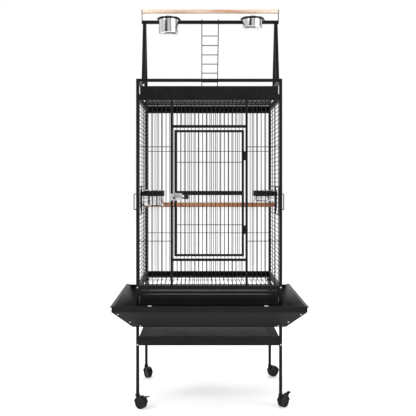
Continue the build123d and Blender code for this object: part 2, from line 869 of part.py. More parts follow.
# each end of the A-frame is two bars on a foot plate each, leaning together under the crossbar
play_leg = 11
play_leg_width = 15
play_leg_x = 298.4
play_offset = 7.5
foot_plate = 3
foot_plate_length = 26
plate_z = (guard_top + weld_gap, guard_top + weld_gap + foot_plate)
play_leg_top = crossbar_bottom - weld_gap
for name, side in sides.items():
    leg_middle = side * play_leg_x + play_offset
    plate_x = sorted((side * side_x, leg_middle - side * play_leg_width / 2))
    if abs(leg_middle) > side_x - tube / 2:
        plate_x = sorted((side * inner_x, leg_middle + side * play_leg_width / 2))
    with BuildPart() as play_legs:
        for lean in (-1, 1):
            foot = lean * leg_spread
            head = lean * (play_leg / 2 + weld_gap)
            with BuildSketch(Plane.YZ.offset(leg_middle)):
                with BuildLine():
                    Polyline(
                        (foot - play_leg / 2, plate_z[0] + 1),
                        (foot + play_leg / 2, plate_z[0] + 1),
                        (head + play_leg / 2, play_leg_top),
                        (head - play_leg / 2, play_leg_top),
                        close=True,
                    )
                make_face()
            extrude(amount=play_leg_width / 2, both=True)
            add_bar(tuple(plate_x), span(foot, foot_plate_length), plate_z)
    save(play_legs, f"play_legs_{name}")

crossbar_size = crossbar_top - crossbar_bottom
crossbar_level = (crossbar_top + crossbar_bottom) / 2
crossbar_x = span(play_offset, 2 * side_x + 7)
with BuildPart() as play_crossbar:
    add_tube(crossbar_x, span(0, crossbar_size), (crossbar_bottom, crossbar_top))
save(play_crossbar, "play_crossbar")

# the perch is held between two end plates, with a screw through each
perch_level = total_height - perch_radius
bracket_sheet = 2.5
bracket_width = 16
with BuildPart() as play_perch_brackets:
    for side in (-1, 1):
        plate_end = side * (crossbar_x[1] - play_offset)
        plate_x = sorted((play_offset + plate_end, play_offset + plate_end - side * bracket_sheet))
        add_bar(
            tuple(plate_x),
            span(0, bracket_width),
            (crossbar_top + weld_gap, total_height - 2),
        )
        with Locations(Location((play_offset + plate_end + side, 0, perch_level), (0, 90, 0))):
            Cylinder(screw_radius, screw_height)
save(play_perch_brackets, "play_perch_brackets")

perch_length = crossbar_x[1] - crossbar_x[0] - 2 * (bracket_sheet + weld_gap)
with BuildPart() as play_perch:
    with Locations(Location((play_offset, 0, perch_level), (0, 90, 0))):
        Cylinder(perch_radius, perch_length)
save(play_perch, "play_perch")

# the ladder hooks over the crossbar and leans on the back guard rail
ladder_wire = 4
hook_inner = 11
rail_offset = hook_inner + ladder_wire / 2
rest_gap = 0.4
reach = post_y
drop = crossbar_level - guard_top - rest_gap
lean = math.degrees(math.acos(hook_inner / math.hypot(reach, drop)))
lean -= math.degrees(math.atan2(drop, reach))
ladder_length = math.sqrt(reach**2 + drop**2 - hook_inner**2)
hook_sweep = 215
hook_middle = lean + hook_sweep / 2
hook_cut = rail_offset * math.cos(math.radians(hook_sweep / 2))
cut_way = (math.cos(math.radians(hook_middle)), math.sin(math.radians(hook_middle)))
ladder_plane = Plane(
    origin=(play_offset, 0, crossbar_level),
    x_dir=(1, 0, 0),
    z_dir=(0, math.cos(math.radians(lean)), math.sin(math.radians(lean))),
)
first_rung = 0.2 * ladder_length
rung_end = ladder_width / 2 - ladder_wire / 2 - weld_gap
ladder_rails = wire_panel(
    ladder_plane.offset(rail_offset),
    (0, 0),
    (-1, ladder_length),
    (-ladder_width / 2, ladder_width / 2),
    (),
    thickness=ladder_wire,
)
ladder_rungs = wire_panel(
    ladder_plane.offset(rail_offset),
    (-rung_end, rung_end),
    (0, 0),
    (),
    [first_rung + rung_pitch * step for step in range(rung_count)],
    thickness=ladder_wire,
)
with BuildPart() as ladder:
    add(ladder_rails)
    add(ladder_rungs)
    for rail_x in (-ladder_width / 2, ladder_width / 2):
        with BuildSketch(Plane.YZ.offset(play_offset + rail_x)):
            with Locations((0, crossbar_level)):
                Circle(hook_inner + ladder_wire)
                Circle(hook_inner, mode=Mode.SUBTRACT)
            cut_place = (hook_cut * cut_way[0], crossbar_level + hook_cut * cut_way[1], 0)
            with Locations(Location(cut_place, (0, 0, hook_middle - 90))):
                Rectangle(40, 20, align=(Align.CENTER, Align.MAX), mode=Mode.SUBTRACT)
        extrude(amount=ladder_wire / 2, both=True)
save(ladder, "ladder")

# cup rings in front of the crossbar, with a steel cup in each
cup_ring_z = (crossbar_level - 3, crossbar_level + 5)
cup_middle_y = -play_cup_reach
with BuildPart() as play_cup_rings:
    for middle_x, radius, _depth in play_cup_sizes.values():
        with Locations((middle_x, cup_middle_y, sum(cup_ring_z) / 2)):
            Cylinder(radius + 8, cup_ring_z[1] - cup_ring_z[0])
            Cylinder(radius + 0.8, cup_ring_z[1] - cup_ring_z[0], mode=Mode.SUBTRACT)
        add_bar(
            span(middle_x, 24),
            (-crossbar_size / 2 - 7.4, -crossbar_size / 2 - weld_gap),
            (crossbar_bottom, cup_ring_z[1]),
        )
save(play_cup_rings, "play_cup_rings")

for name, (middle_x, radius, depth) in play_cup_sizes.items():
    cup_top = cup_ring_z[1] + 2.3
    play_cup_shape = steel_cup((middle_x, cup_middle_y), radius, cup_top, depth, lip=3.5)
    with BuildPart() as play_cup:
        add(play_cup_shape)
    save(play_cup, f"play_cup_{name}")
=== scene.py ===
import bpy
import json
import math
from mathutils import Matrix, Vector


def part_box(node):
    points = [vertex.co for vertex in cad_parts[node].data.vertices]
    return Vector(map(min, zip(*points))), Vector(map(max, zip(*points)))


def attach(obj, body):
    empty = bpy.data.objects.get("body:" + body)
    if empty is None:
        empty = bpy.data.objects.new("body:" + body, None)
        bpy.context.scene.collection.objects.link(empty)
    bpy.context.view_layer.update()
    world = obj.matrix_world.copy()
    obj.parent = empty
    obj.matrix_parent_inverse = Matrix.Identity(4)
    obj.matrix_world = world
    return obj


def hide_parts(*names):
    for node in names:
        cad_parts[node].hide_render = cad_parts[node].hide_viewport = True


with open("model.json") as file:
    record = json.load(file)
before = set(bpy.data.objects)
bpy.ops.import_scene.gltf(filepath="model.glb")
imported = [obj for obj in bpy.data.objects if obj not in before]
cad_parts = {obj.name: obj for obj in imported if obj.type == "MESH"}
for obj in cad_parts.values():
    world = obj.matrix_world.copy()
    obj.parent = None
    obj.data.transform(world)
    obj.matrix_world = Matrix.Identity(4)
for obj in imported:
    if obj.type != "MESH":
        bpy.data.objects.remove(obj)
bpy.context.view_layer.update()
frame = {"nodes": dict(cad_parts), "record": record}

nodes = frame["nodes"]
joints = {joint["name"]: joint for joint in frame["record"]["behaviour"]["joints"]}
bodyOf = {node: body for body, members in frame["record"]["behaviour"]["bodies"].items() for node in members}
slotOf = {part["node"]: part["material_slot"] for part in frame["record"]["subparts"]}
up = Vector((0, 0, 1))


# selecting and finishing

def clearSelection():
    if bpy.context.mode != "OBJECT":
        bpy.ops.object.mode_set(mode="OBJECT")
    bpy.ops.object.select_all(action="DESELECT")


def pick(piece):
    clearSelection()
    piece.select_set(True)
    bpy.context.view_layer.objects.active = piece


def applyPlace(piece):
    pick(piece)
    bpy.ops.object.transform_apply(location=True, rotation=True, scale=True)


def applyModifiers(piece):
    pick(piece)
    for modifier in list(piece.modifiers):
        bpy.ops.object.modifier_apply(modifier=modifier.name)


def pickFaces(piece, wanted):
    # leaves the piece in edit mode with only the wanted faces selected
    pick(piece)
    bpy.ops.object.mode_set(mode="EDIT")
    bpy.ops.mesh.select_mode(type="FACE")
    bpy.ops.mesh.select_all(action="DESELECT")
    bpy.ops.object.mode_set(mode="OBJECT")
    for face in piece.data.polygons:
        face.select = wanted(face)
    bpy.ops.object.mode_set(mode="EDIT")


def joinPieces(parts):
    clearSelection()
    for part in parts:
        part.select_set(True)
    bpy.context.view_layer.objects.active = parts[0]
    if len(parts) > 1:
        bpy.ops.object.join()
    return bpy.context.object


def copyPiece(piece):
    twin = piece.copy()
    twin.data = piece.data.copy()
    bpy.context.scene.collection.objects.link(twin)
    return twin


def outwardNormals(piece):
    pick(piece)
    bpy.ops.object.mode_set(mode="EDIT")
    bpy.ops.mesh.select_all(action="SELECT")
    bpy.ops.mesh.normals_make_consistent(inside=False)
    bpy.ops.object.mode_set(mode="OBJECT")


def finishPiece(piece, name, body, slotName, replaced=(), angle=38):
    piece.name = name
    piece.data.name = name
    applyPlace(piece)
    bpy.ops.object.shade_smooth_by_angle(angle=math.radians(angle))
    piece.data.materials.clear()
    piece.data.materials.append(finishes[slotName])
    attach(piece, body)
    if replaced:
        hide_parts(*replaced)
    return piece


# finishes

def newFinish(name):
    material = bpy.data.materials.new(name)
    material.use_nodes = True
    tree = material.node_tree
    shader = tree.nodes["Principled BSDF"]
    place = tree.nodes.new("ShaderNodeTexCoord")
    return material, tree, shader, place


def addNoise(tree, place, scale, detail=3.0, stretch=(1, 1, 1), roughness=0.55):
    mapping = tree.nodes.new("ShaderNodeMapping")
    mapping.inputs["Scale"].default_value = stretch
    noise = tree.nodes.new("ShaderNodeTexNoise")
    noise.inputs["Scale"].default_value = scale
    noise.inputs["Detail"].default_value = detail
    noise.inputs["Roughness"].default_value = roughness
    tree.links.new(place.outputs["Object"], mapping.inputs["Vector"])
    tree.links.new(mapping.outputs["Vector"], noise.inputs["Vector"])
    return noise.outputs["Fac"]


def addRamp(tree, value, stops):
    ramp = tree.nodes.new("ShaderNodeValToRGB")
    elements = ramp.color_ramp.elements
    for element, (position, color) in zip(elements, (stops[0], stops[-1])):
        element.position = position
        element.color = (*color, 1)
    for position, color in stops[1:-1]:
        elements.new(position).color = (*color, 1)
    tree.links.new(value, ramp.inputs["Fac"])
    return ramp.outputs["Color"]


def addRange(tree, value, low, high):
    spread = tree.nodes.new("ShaderNodeMapRange")
    spread.inputs["To Min"].default_value = low
    spread.inputs["To Max"].default_value = high
    tree.links.new(value, spread.inputs["Value"])
    return spread.outputs["Result"]


def addBump(tree, shader, value, strength, distance):
    bump = tree.nodes.new("ShaderNodeBump")
    bump.inputs["Strength"].default_value = strength
    bump.inputs["Distance"].default_value = distance
    tree.links.new(value, bump.inputs["Height"])
    tree.links.new(bump.outputs["Normal"], shader.inputs["Normal"])


powderCoat = {
    "dark": (0.0035, 0.0035, 0.004),
    "light": (0.008, 0.008, 0.0085),
    "roughness": (0.34, 0.50),
    "specular": 0.16,
    "peelScale": 900.0,
}


def makePowderCoat():
    # baked black coating: a fine orange peel, and patches that are a little duller
    material, tree, shader, place = newFinish("blackPowderCoat")
    patches = addNoise(tree, place, 14.0, 4.0)
    peel = addNoise(tree, place, powderCoat["peelScale"], 2.0)
    color = addRamp(tree, patches, [(0.3, powderCoat["dark"]), (0.72, powderCoat["light"])])
    tree.links.new(color, shader.inputs["Base Color"])
    tree.links.new(addRange(tree, patches, *powderCoat["roughness"]), shader.inputs["Roughness"])
    shader.inputs["Specular IOR Level"].default_value = powderCoat["specular"]
    addBump(tree, shader, peel, 0.25, 0.0003)
    return material


def makeMetal(name, dark, light, roughness, stretch=(1, 1, 1), scale=120.0, bump=0.08):
    # bright metal with drawn or spun lines along one way
    material, tree, shader, place = newFinish(name)
    lines = addNoise(tree, place, scale, 5.0, stretch)
    tree.links.new(addRamp(tree, lines, [(0.25, dark), (0.8, light)]), shader.inputs["Base Color"])
    tree.links.new(addRange(tree, lines, *roughness), shader.inputs["Roughness"])
    shader.inputs["Metallic"].default_value = 1.0
    addBump(tree, shader, lines, bump, 0.0002)
    return material


def makeWood(name, pale, mid, dark, roughness, figure):
    # long grain along X, with darker streaks and fine pores
    material, tree, shader, place = newFinish(name)
    streaks = addNoise(tree, place, figure, 6.0, (0.12, 2.2, 2.2), 0.62)
    pores = addNoise(tree, place, 420.0, 4.0, (0.03, 1.6, 1.6))
    color = addRamp(tree, streaks, [(0.30, dark), (0.47, mid), (0.66, pale)])
    fine = tree.nodes.new("ShaderNodeMix")
    fine.data_type = "RGBA"
    fine.blend_type = "MULTIPLY"
    fine.inputs["Factor"].default_value = 0.35
    tree.links.new(color, fine.inputs["A"])
    tree.links.new(addRamp(tree, pores, [(0.3, (0.45, 0.38, 0.34)), (0.6, (1, 1, 1))]), fine.inputs["B"])
    tree.links.new(fine.outputs["Result"], shader.inputs["Base Color"])
    tree.links.new(addRange(tree, pores, *roughness), shader.inputs["Roughness"])
    addBump(tree, shader, pores, 0.35, 0.0006)
    return material


def makePlastic(name, dark, light, roughness, scale):
    # moulded plastic with a fine spark-eroded texture
    material, tree, shader, place = newFinish(name)
    patches = addNoise(tree, place, 60.0, 3.0)
    grain = addNoise(tree, place, scale, 2.0)
    tree.links.new(addRamp(tree, patches, [(0.3, dark), (0.75, light)]), shader.inputs["Base Color"])
    tree.links.new(addRange(tree, grain, *roughness), shader.inputs["Roughness"])
    shader.inputs["Specular IOR Level"].default_value = 0.2
    addBump(tree, shader, grain, 0.3, 0.0003)
    return material


finishes = {
    "black_powder_coat": makePowderCoat(),
    "zinc_fixings": makeMetal("zincFixings", (0.52, 0.52, 0.50), (0.80, 0.80, 0.78), (0.24, 0.42)),
    "zinc_latch": makeMetal("zincLatch", (0.46, 0.46, 0.45), (0.74, 0.74, 0.73), (0.26, 0.45)),
    "latch_bolt_steel": makePlastic(
        "blackEnamel", (0.010, 0.010, 0.010), (0.028, 0.028, 0.028), (0.22, 0.36), 700.0,
    ),
    "polished_steel": makeMetal(
        "polishedSteel", (0.66, 0.66, 0.67), (0.86, 0.86, 0.87), (0.07, 0.17), (1, 1, 14), 30.0, 0.03,
    ),
    "orange_wood": makeWood(
        "orangeWood", (0.74, 0.37, 0.20), (0.58, 0.25, 0.12), (0.34, 0.13, 0.055), (0.34, 0.55), 26.0,
    ),
    "pale_wood": makeWood(
        "paleWood", (0.94, 0.83, 0.72), (0.88, 0.68, 0.53), (0.60, 0.34, 0.22), (0.42, 0.65), 22.0,
    ),
    "black_plastic": makePlastic(
        "blackPlastic", (0.004, 0.004, 0.004), (0.012, 0.012, 0.012), (0.36, 0.52), 1200.0,
    ),
    "wheel_plastic": makePlastic(
        "wheelPlastic", (0.005, 0.005, 0.005), (0.014, 0.014, 0.014), (0.42, 0.60), 900.0,
    ),
}

for nodeName, node in nodes.items():
    if not node.data.materials:
        node.data.materials.append(finishes[slotOf[nodeName]])
    for place in range(len(node.material_slots)):
        node.material_slots[place].material = finishes[slotOf[nodeName]]
print("finishes made")


# shapes that many pieces share

def rod(start, end, radius, sides=8, chamfer=0.0004):
    # a round bar between two points, with both ends chamfered
    start, end = Vector(start), Vector(end)
    run = end - start
    clearSelection()
    bpy.ops.mesh.primitive_cylinder_add(
        vertices=sides, radius=radius, depth=run.length, location=(start + end) / 2,
        rotation=run.to_track_quat("Z", "Y").to_euler(),
    )
    piece = bpy.context.object
    pickFaces(piece, lambda face: len(face.vertices) > 4)
    bpy.ops.mesh.bevel(offset=chamfer, segments=1)
    bpy.ops.object.mode_set(mode="OBJECT")
    applyPlace(piece)
    return piece


def rodRow(start, end, radius, step=(0, 0, 0), count=1, sides=8):
    # one rod, repeated by an array
    piece = rod(start, end, radius, sides)
    if count > 1:
        row = piece.modifiers.new("Row", "ARRAY")
        row.use_relative_offset = False
        row.use_constant_offset = True
        row.constant_offset_displace = step
        row.count = count
        applyModifiers(piece)
    return piece


def softBlock(low, high, softness=0.001, segments=2):
    # a block with every edge rounded
    low, high = Vector(low), Vector(high)
    clearSelection()
    bpy.ops.mesh.primitive_cube_add(size=1, location=(low + high) / 2)
    piece = bpy.context.object
    piece.scale = high - low
    applyPlace(piece)
    bpy.ops.object.mode_set(mode="EDIT")
    bpy.ops.mesh.select_all(action="SELECT")
    bpy.ops.mesh.bevel(offset=softness, segments=segments, profile=0.5)
    bpy.ops.object.mode_set(mode="OBJECT")
    return piece


tubeShape = {"corner": 0.0019, "plugEdge": 0.0011, "plugDepth": 0.0006}


def squareTube(low, high):
    # a drawn tube: round corners along its length, and a plug set a little into each end
    low, high = Vector(low), Vector(high)
    size = high - low
    run = max(range(3), key=lambda axis: size[axis])
    clearSelection()
    bpy.ops.mesh.primitive_cube_add(size=1, location=(low + high) / 2)
    piece = bpy.context.object
    piece.scale = size
    applyPlace(piece)
    pick(piece)
    bpy.ops.object.mode_set(mode="EDIT")
    bpy.ops.mesh.select_mode(type="EDGE")
    bpy.ops.mesh.select_all(action="DESELECT")
    bpy.ops.object.mode_set(mode="OBJECT")
    for edge in piece.data.edges:
        ends = [piece.data.vertices[index].co for index in edge.vertices]
        edge.select = abs(ends[0][run] - ends[1][run]) > size[run] / 2
    bpy.ops.object.mode_set(mode="EDIT")
    corner = min(tubeShape["corner"], sorted(size)[0] * 0.3)
    bpy.ops.mesh.bevel(offset=corner, segments=3, profile=0.5)
    bpy.ops.object.mode_set(mode="OBJECT")
    pickFaces(piece, lambda face: abs(face.normal[run]) > 0.9)
    bpy.ops.mesh.inset(thickness=tubeShape["plugEdge"], use_individual=True)
    bpy.ops.mesh.inset(thickness=0.0002, depth=-tubeShape["plugDepth"], use_individual=True)
    bpy.ops.object.mode_set(mode="OBJECT")
    return piece


def turned(middle, rings, sides=40):
    # a turned solid about an upright line: a disc is extruded from ring to ring and scaled each time
    middle = Vector(middle)
    radius, height = rings[0]
    clearSelection()
    bpy.ops.mesh.primitive_circle_add(
        vertices=sides, radius=radius, fill_type="NGON", location=middle + up * height,
    )
    piece = bpy.context.object
    applyPlace(piece)
    bpy.ops.object.mode_set(mode="EDIT")
    bpy.ops.mesh.select_mode(type="FACE")
    bpy.ops.mesh.select_all(action="SELECT")
    for newRadius, newHeight in rings[1:]:
        bpy.ops.mesh.extrude_region_move(TRANSFORM_OT_translate={"value": (0, 0, newHeight - height)})
        grow = newRadius / radius
        bpy.ops.transform.resize(value=(grow, grow, 1), center_override=middle + up * newHeight)
        radius, height = newRadius, newHeight
    bpy.ops.object.mode_set(mode="OBJECT")
    outwardNormals(piece)
    return piece


def turnedTo(piece, middle, matrix):
    # swings a finished shape about a point and applies it
    piece.matrix_world = Matrix.Translation(middle) @ matrix.to_4x4() @ Matrix.Translation(
        -Vector(middle)
    ) @ piece.matrix_world
    applyPlace(piece)
    return piece


def bentWire(points, radius, closed=False, sides=2, order=3):
    # a round wire bent along a smooth line
    clearSelection()
    bpy.ops.curve.primitive_nurbs_path_add(location=(0, 0, 0))
    piece = bpy.context.object
    spline = piece.data.splines[0]
    spline.points.add(max(0, len(points) - len(spline.points)))
    for point, place in zip(spline.points, points):
        point.co = (*place, 1)
    spline.use_cyclic_u = closed
    spline.order_u = order
    spline.use_endpoint_u = not closed
    spline.resolution_u = 6
    piece.data.dimensions = "3D"
    piece.data.bevel_depth = radius
    piece.data.bevel_resolution = sides
    piece.data.use_fill_caps = True
    pick(piece)
    bpy.ops.object.convert(target="MESH")
    piece = bpy.context.object
    applyPlace(piece)
    bpy.ops.object.mode_set(mode="EDIT")
    bpy.ops.mesh.select_all(action="SELECT")
    bpy.ops.mesh.remove_doubles(threshold=0.00001)
    bpy.ops.object.mode_set(mode="OBJECT")
    outwardNormals(piece)
    return piece


def partBoxes(nodeName):
    # the boxes of a CAD node's separate bars, from a merged copy that is thrown away
    twin = copyPiece(nodes[nodeName])
    twin.parent = None
    pick(twin)
    bpy.ops.object.mode_set(mode="EDIT")
    bpy.ops.mesh.select_all(action="SELECT")
    bpy.ops.mesh.remove_doubles(threshold=0.00001)
    bpy.ops.mesh.separate(type="LOOSE")
    bpy.ops.object.mode_set(mode="OBJECT")
    boxes = []
    for part in list(bpy.context.selected_objects):
        corners = [vertex.co for vertex in part.data.vertices]
        low = Vector([min(corner[axis] for corner in corners) for axis in range(3)])
        high = Vector([max(corner[axis] for corner in corners) for axis in range(3)])
        boxes.append((low, high))
        bpy.data.meshes.remove(part.data)
    return sorted(boxes, key=lambda pair: tuple(round(value, 4) for value in (*pair[0], *pair[1])))


def evenly(low, high, pitch):
    # the first place and the step of wires spread between two limits, and how many there are
    count = round((high - low) / pitch)
    step = (high - low) / count
    return low + step, step, count - 1


# square-tube frames

for frameName, pieceName in {
    "stand_side_left": "standSideLeft", "stand_side_right": "standSideRight",
    "stand_cross_rails": "standCrossRails", "front_frame": "frontFrame", "back_frame": "backFrame",
    "left_frame": "leftFrame", "right_frame": "rightFrame", "door_frame": "doorFrame",
    "play_base_frame": "playBaseFrame", "play_crossbar": "playCrossbar",
}.items():
    tubes = [squareTube(low, high) for low, high in partBoxes(frameName)]
    finishPiece(joinPieces(tubes), pieceName, bodyOf[frameName], "black_powder_coat", [frameName])
print("frames made")


# wire panels, each wire welded across the ones behind it

frontLow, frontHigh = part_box("front_frame")
tube = frontHigh.y - frontLow.y
frontWireLow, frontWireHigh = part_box("front_wires")
cage = {
    "wire": 0.0015,        # radius of the panel wires
    "weld": 0.0012,        # how far each layer stands off the panel's middle
    "pitch": 0.018,
    "innerX": frontHigh.x - tube,
    "innerY": -frontLow.y - tube,
    "planeX": frontHigh.x - tube / 2,
    "planeY": -frontLow.y - tube / 2,
    "low": frontWireLow.z,
    "high": frontWireHigh.z,
    "crossLevels": (0.703, 1.101),
    "postIn": 0.153,
    "postOut": 0.163,
    "header": (1.181, 1.193),
    "sill": (0.619, 0.630),
}


def uprightRow(low, high, bottom, top, y, radius=None):
    # upright wires spread along X
    first, step, count = evenly(low, high, cage["pitch"])
    return rodRow((first, y, bottom), (first, y, top), radius or cage["wire"], (step, 0, 0), count)


def levelWire(low, high, y, z):
    return rod((low, y, z), (high, y, z), cage["wire"])


frontY = -cage["planeY"]
rows = []
for side in (-1, 1):
    low, high = sorted((side * cage["postOut"], side * cage["innerX"]))
    rows.append(uprightRow(low, high, cage["low"], cage["high"], frontY - cage["weld"]))
    rows += [levelWire(low, high, frontY + cage["weld"], z) for z in cage["crossLevels"]]
for bottom, top in ((cage["header"][1], cage["high"]), (cage["low"], cage["sill"][0])):
    rows.append(uprightRow(-cage["postIn"], cage["postIn"], bottom, top, frontY))
for bottom, top in (cage["header"], cage["sill"]):
    rows.append(squareTube((-cage["postIn"], frontY - 0.005, bottom), (cage["postIn"], frontY + 0.005, top)))
finishPiece(joinPieces(rows), "frontWires", "cage", "black_powder_coat", ["front_wires"])

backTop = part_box("back_wires")[1].z
rows = [uprightRow(-cage["innerX"], cage["innerX"], cage["low"], backTop, cage["planeY"] + cage["weld"])]
rows += [
    levelWire(-cage["innerX"], cage["innerX"], cage["planeY"] - cage["weld"], z)
    for z in cage["crossLevels"]
]
finishPiece(joinPieces(rows), "backWires", "cage", "black_powder_coat", ["back_wires"])

doorLow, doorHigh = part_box("door_wires")
doorBars = {"lower": 0.772, "upper": 1.036, "midLow": 0.897, "midHigh": 0.915, "inner": 0.137}
rows = []
for bottom, top, level in (
    (doorLow.z, doorBars["midLow"], doorBars["lower"]),
    (doorBars["midHigh"], doorHigh.z, doorBars["upper"]),
):
    rows.append(uprightRow(-doorBars["inner"], doorBars["inner"], bottom, top, frontY - cage["weld"]))
    rows.append(levelWire(-doorBars["inner"], doorBars["inner"], frontY + cage["weld"], level))
finishPiece(joinPieces(rows), "doorWires", "main_door", "black_powder_coat", ["door_wires"])

feederOpening = {"y": (-0.148, -0.010), "z": (0.813, 0.928), "extraUpright": 0.120}
sideFirst, sideStep, sideCount = evenly(cage["low"], cage["high"], cage["pitch"])
sideLevels = [sideFirst + sideStep * place for place in range(sideCount)]


def levelRow(levels, x, fromY, toY):
    if not levels:
        return []
    return [rodRow((x, fromY, levels[0]), (x, toY, levels[0]), cage["wire"], (0, 0, sideStep), len(levels))]


def sidePanel(side, name, replaced):
    # level wires inside, a few uprights outside them, and the pin that the feeder door turns on
    inside = side * (cage["planeX"] - cage["weld"] + 0.0002)
    outside = side * (cage["planeX"] + cage["weld"] - 0.0002)
    openY, openZ = feederOpening["y"], feederOpening["z"]
    wire = cage["wire"]
    below = [z for z in sideLevels if z < openZ[0] - 2 * wire]
    above = [z for z in sideLevels if z > openZ[1] + 2 * wire]
    beside = [z for z in sideLevels if openZ[0] + wire < z < openZ[1] - wire]
    rows = levelRow(below, inside, -cage["innerY"], cage["innerY"])
    rows += levelRow(above, inside, -cage["innerY"], cage["innerY"])
    rows += levelRow(beside, inside, -cage["innerY"], openY[0])
    rows += levelRow(beside, inside, openY[1], cage["innerY"])
    for z in (openZ[0] - wire, openZ[1] + wire):
        rows.append(rod((inside, -cage["innerY"], z), (inside, cage["innerY"], z), wire))
    for y in (openY[0] - wire, openY[1] + wire, feederOpening["extraUpright"]):
        rows.append(rod((outside, y, cage["low"]), (outside, y, cage["high"]), wire))
    hinge = joints["feeder_door_" + name + "_hinge"]["pos_m"]
    rows.append(rod((hinge[0], hinge[1], 0.828), (hinge[0], hinge[1], 0.912), 0.0015, 10))
    for z in (0.826, 0.906):
        low, high = sorted((side * (cage["planeX"] + wire), side * (abs(hinge[0]) + 0.002)))
        rows.append(softBlock((low, hinge[1] - 0.0025, z), (high, hinge[1] + 0.0025, z + 0.008), 0.0008))
    finishPiece(joinPieces(rows), name + "Wires", "cage", "black_powder_coat", [replaced])


sidePanel(-1, "left", "left_wires")
sidePanel(1, "right", "right_wires")

topLevel = sum(corner.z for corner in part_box("top_panel")) / 2
firstX, stepX, countX = evenly(-cage["innerX"], cage["innerX"], cage["pitch"])
rows = [
    rodRow(
        (firstX, -cage["innerY"], topLevel + 0.001), (firstX, cage["innerY"], topLevel + 0.001),
        cage["wire"], (stepX, 0, 0), countX,
    )
]
for y in (-0.12, 0, 0.12):
    rows.append(levelWire(-cage["innerX"], cage["innerX"], y, topLevel - 0.001))
finishPiece(joinPieces(rows), "topPanel", "cage", "black_powder_coat", ["top_panel"])

grateLow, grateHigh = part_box("floor_grate")
grateLevel = grateLow.z + 0.0045
grateBack = grateHigh.y
firstX, stepX, countX = evenly(grateLow.x, grateHigh.x, cage["pitch"])
rows = [
    rodRow(
        (firstX, grateLow.y + 0.004, grateLevel + 0.001), (firstX, grateBack, grateLevel + 0.001),
        cage["wire"], (stepX, 0, 0), countX,
    )
]
for x in (grateLow.x + 0.002, grateHigh.x - 0.002):
    rows.append(rod((x, grateLow.y + 0.003, grateLevel), (x, grateBack, grateLevel), 0.002))
for y in (-0.15, 0, 0.15, grateBack - 0.002):
    rows.append(levelWire(grateLow.x, grateHigh.x, y, grateLevel - 0.0012))
rows.append(softBlock(grateLow, (grateHigh.x, grateLow.y + 0.005, grateHigh.z), 0.0012))
finishPiece(joinPieces(rows), "floorGrate", "floor_grate", "black_powder_coat", ["floor_grate"])
print("wire panels made")


# sheet-metal parts keep their CAD shape; their edges are welded and rounded

def softenNode(nodeName, width, segments=2):
    node = nodes[nodeName]
    weld = node.modifiers.new("Weld", "WELD")
    weld.merge_threshold = 0.00001
    bevel = node.modifiers.new("Edges", "BEVEL")
    bevel.width = width
    bevel.segments = segments
    bevel.limit_method = "ANGLE"
    bevel.angle_limit = math.radians(28)
    bevel.harden_normals = False


for nodeName, width in {
    "storage_shelf": 0.0005, "skirt_front": 0.0006, "skirt_back": 0.0006, "skirt_left": 0.0006,
    "skirt_right": 0.0006, "floor_tray": 0.0005, "play_tray": 0.0005, "play_legs_left": 0.0012,
    "play_legs_right": 0.0012, "leg_sockets": 0.0008, "door_hinge_brackets": 0.0004,
    "door_hinge_barrels": 0.0004, "latch_keeper": 0.0006,
}.items():
    softenNode(nodeName, width)


def hem(name, body, low, high, radius, fromSides=("front", "back", "left", "right")):
    # the folded edge along the top of a sheet, as four beads that meet at the corners
    z = high.z - radius
    runs = {
        "front": ((low.x, low.y, z), (high.x, low.y, z)),
        "back": ((low.x, high.y, z), (high.x, high.y, z)),
        "left": ((low.x, low.y, z), (low.x, high.y, z)),
        "right": ((high.x, low.y, z), (high.x, high.y, z)),
    }
    beads = [rod(*runs[edge], radius, 10) for edge in fromSides]
    return finishPiece(joinPieces(beads), name, body, "black_powder_coat")


hemSize = {"skirt": 0.0021, "tray": 0.0016}
for edge in ("front", "back", "left", "right"):
    low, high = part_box("skirt_" + edge)
    inset = Vector((hemSize["skirt"], hemSize["skirt"], 0))
    hem("skirtHem" + edge.capitalize(), "cage", low + inset, high - inset, hemSize["skirt"], (edge,))
for nodeName, pieceName, edges in (
    ("floor_tray", "floorTrayHem", ("front", "left", "right")),
    ("play_tray", "playTrayHem", ("front", "back", "left", "right")),
):
    low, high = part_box(nodeName)
    inset = Vector((hemSize["tray"] * 0.6, hemSize["tray"] * 0.6, 0))
    hem(pieceName, bodyOf[nodeName], low + inset, high - inset, hemSize["tray"], edges)
print("sheet parts made")


# steel cups: spun wall, rolled lip and a rounded bottom, turned from the outside in

cupShape = {"wall": 0.0009, "corner": 0.009, "cornerSteps": 6, "lipDrop": 0.0022}


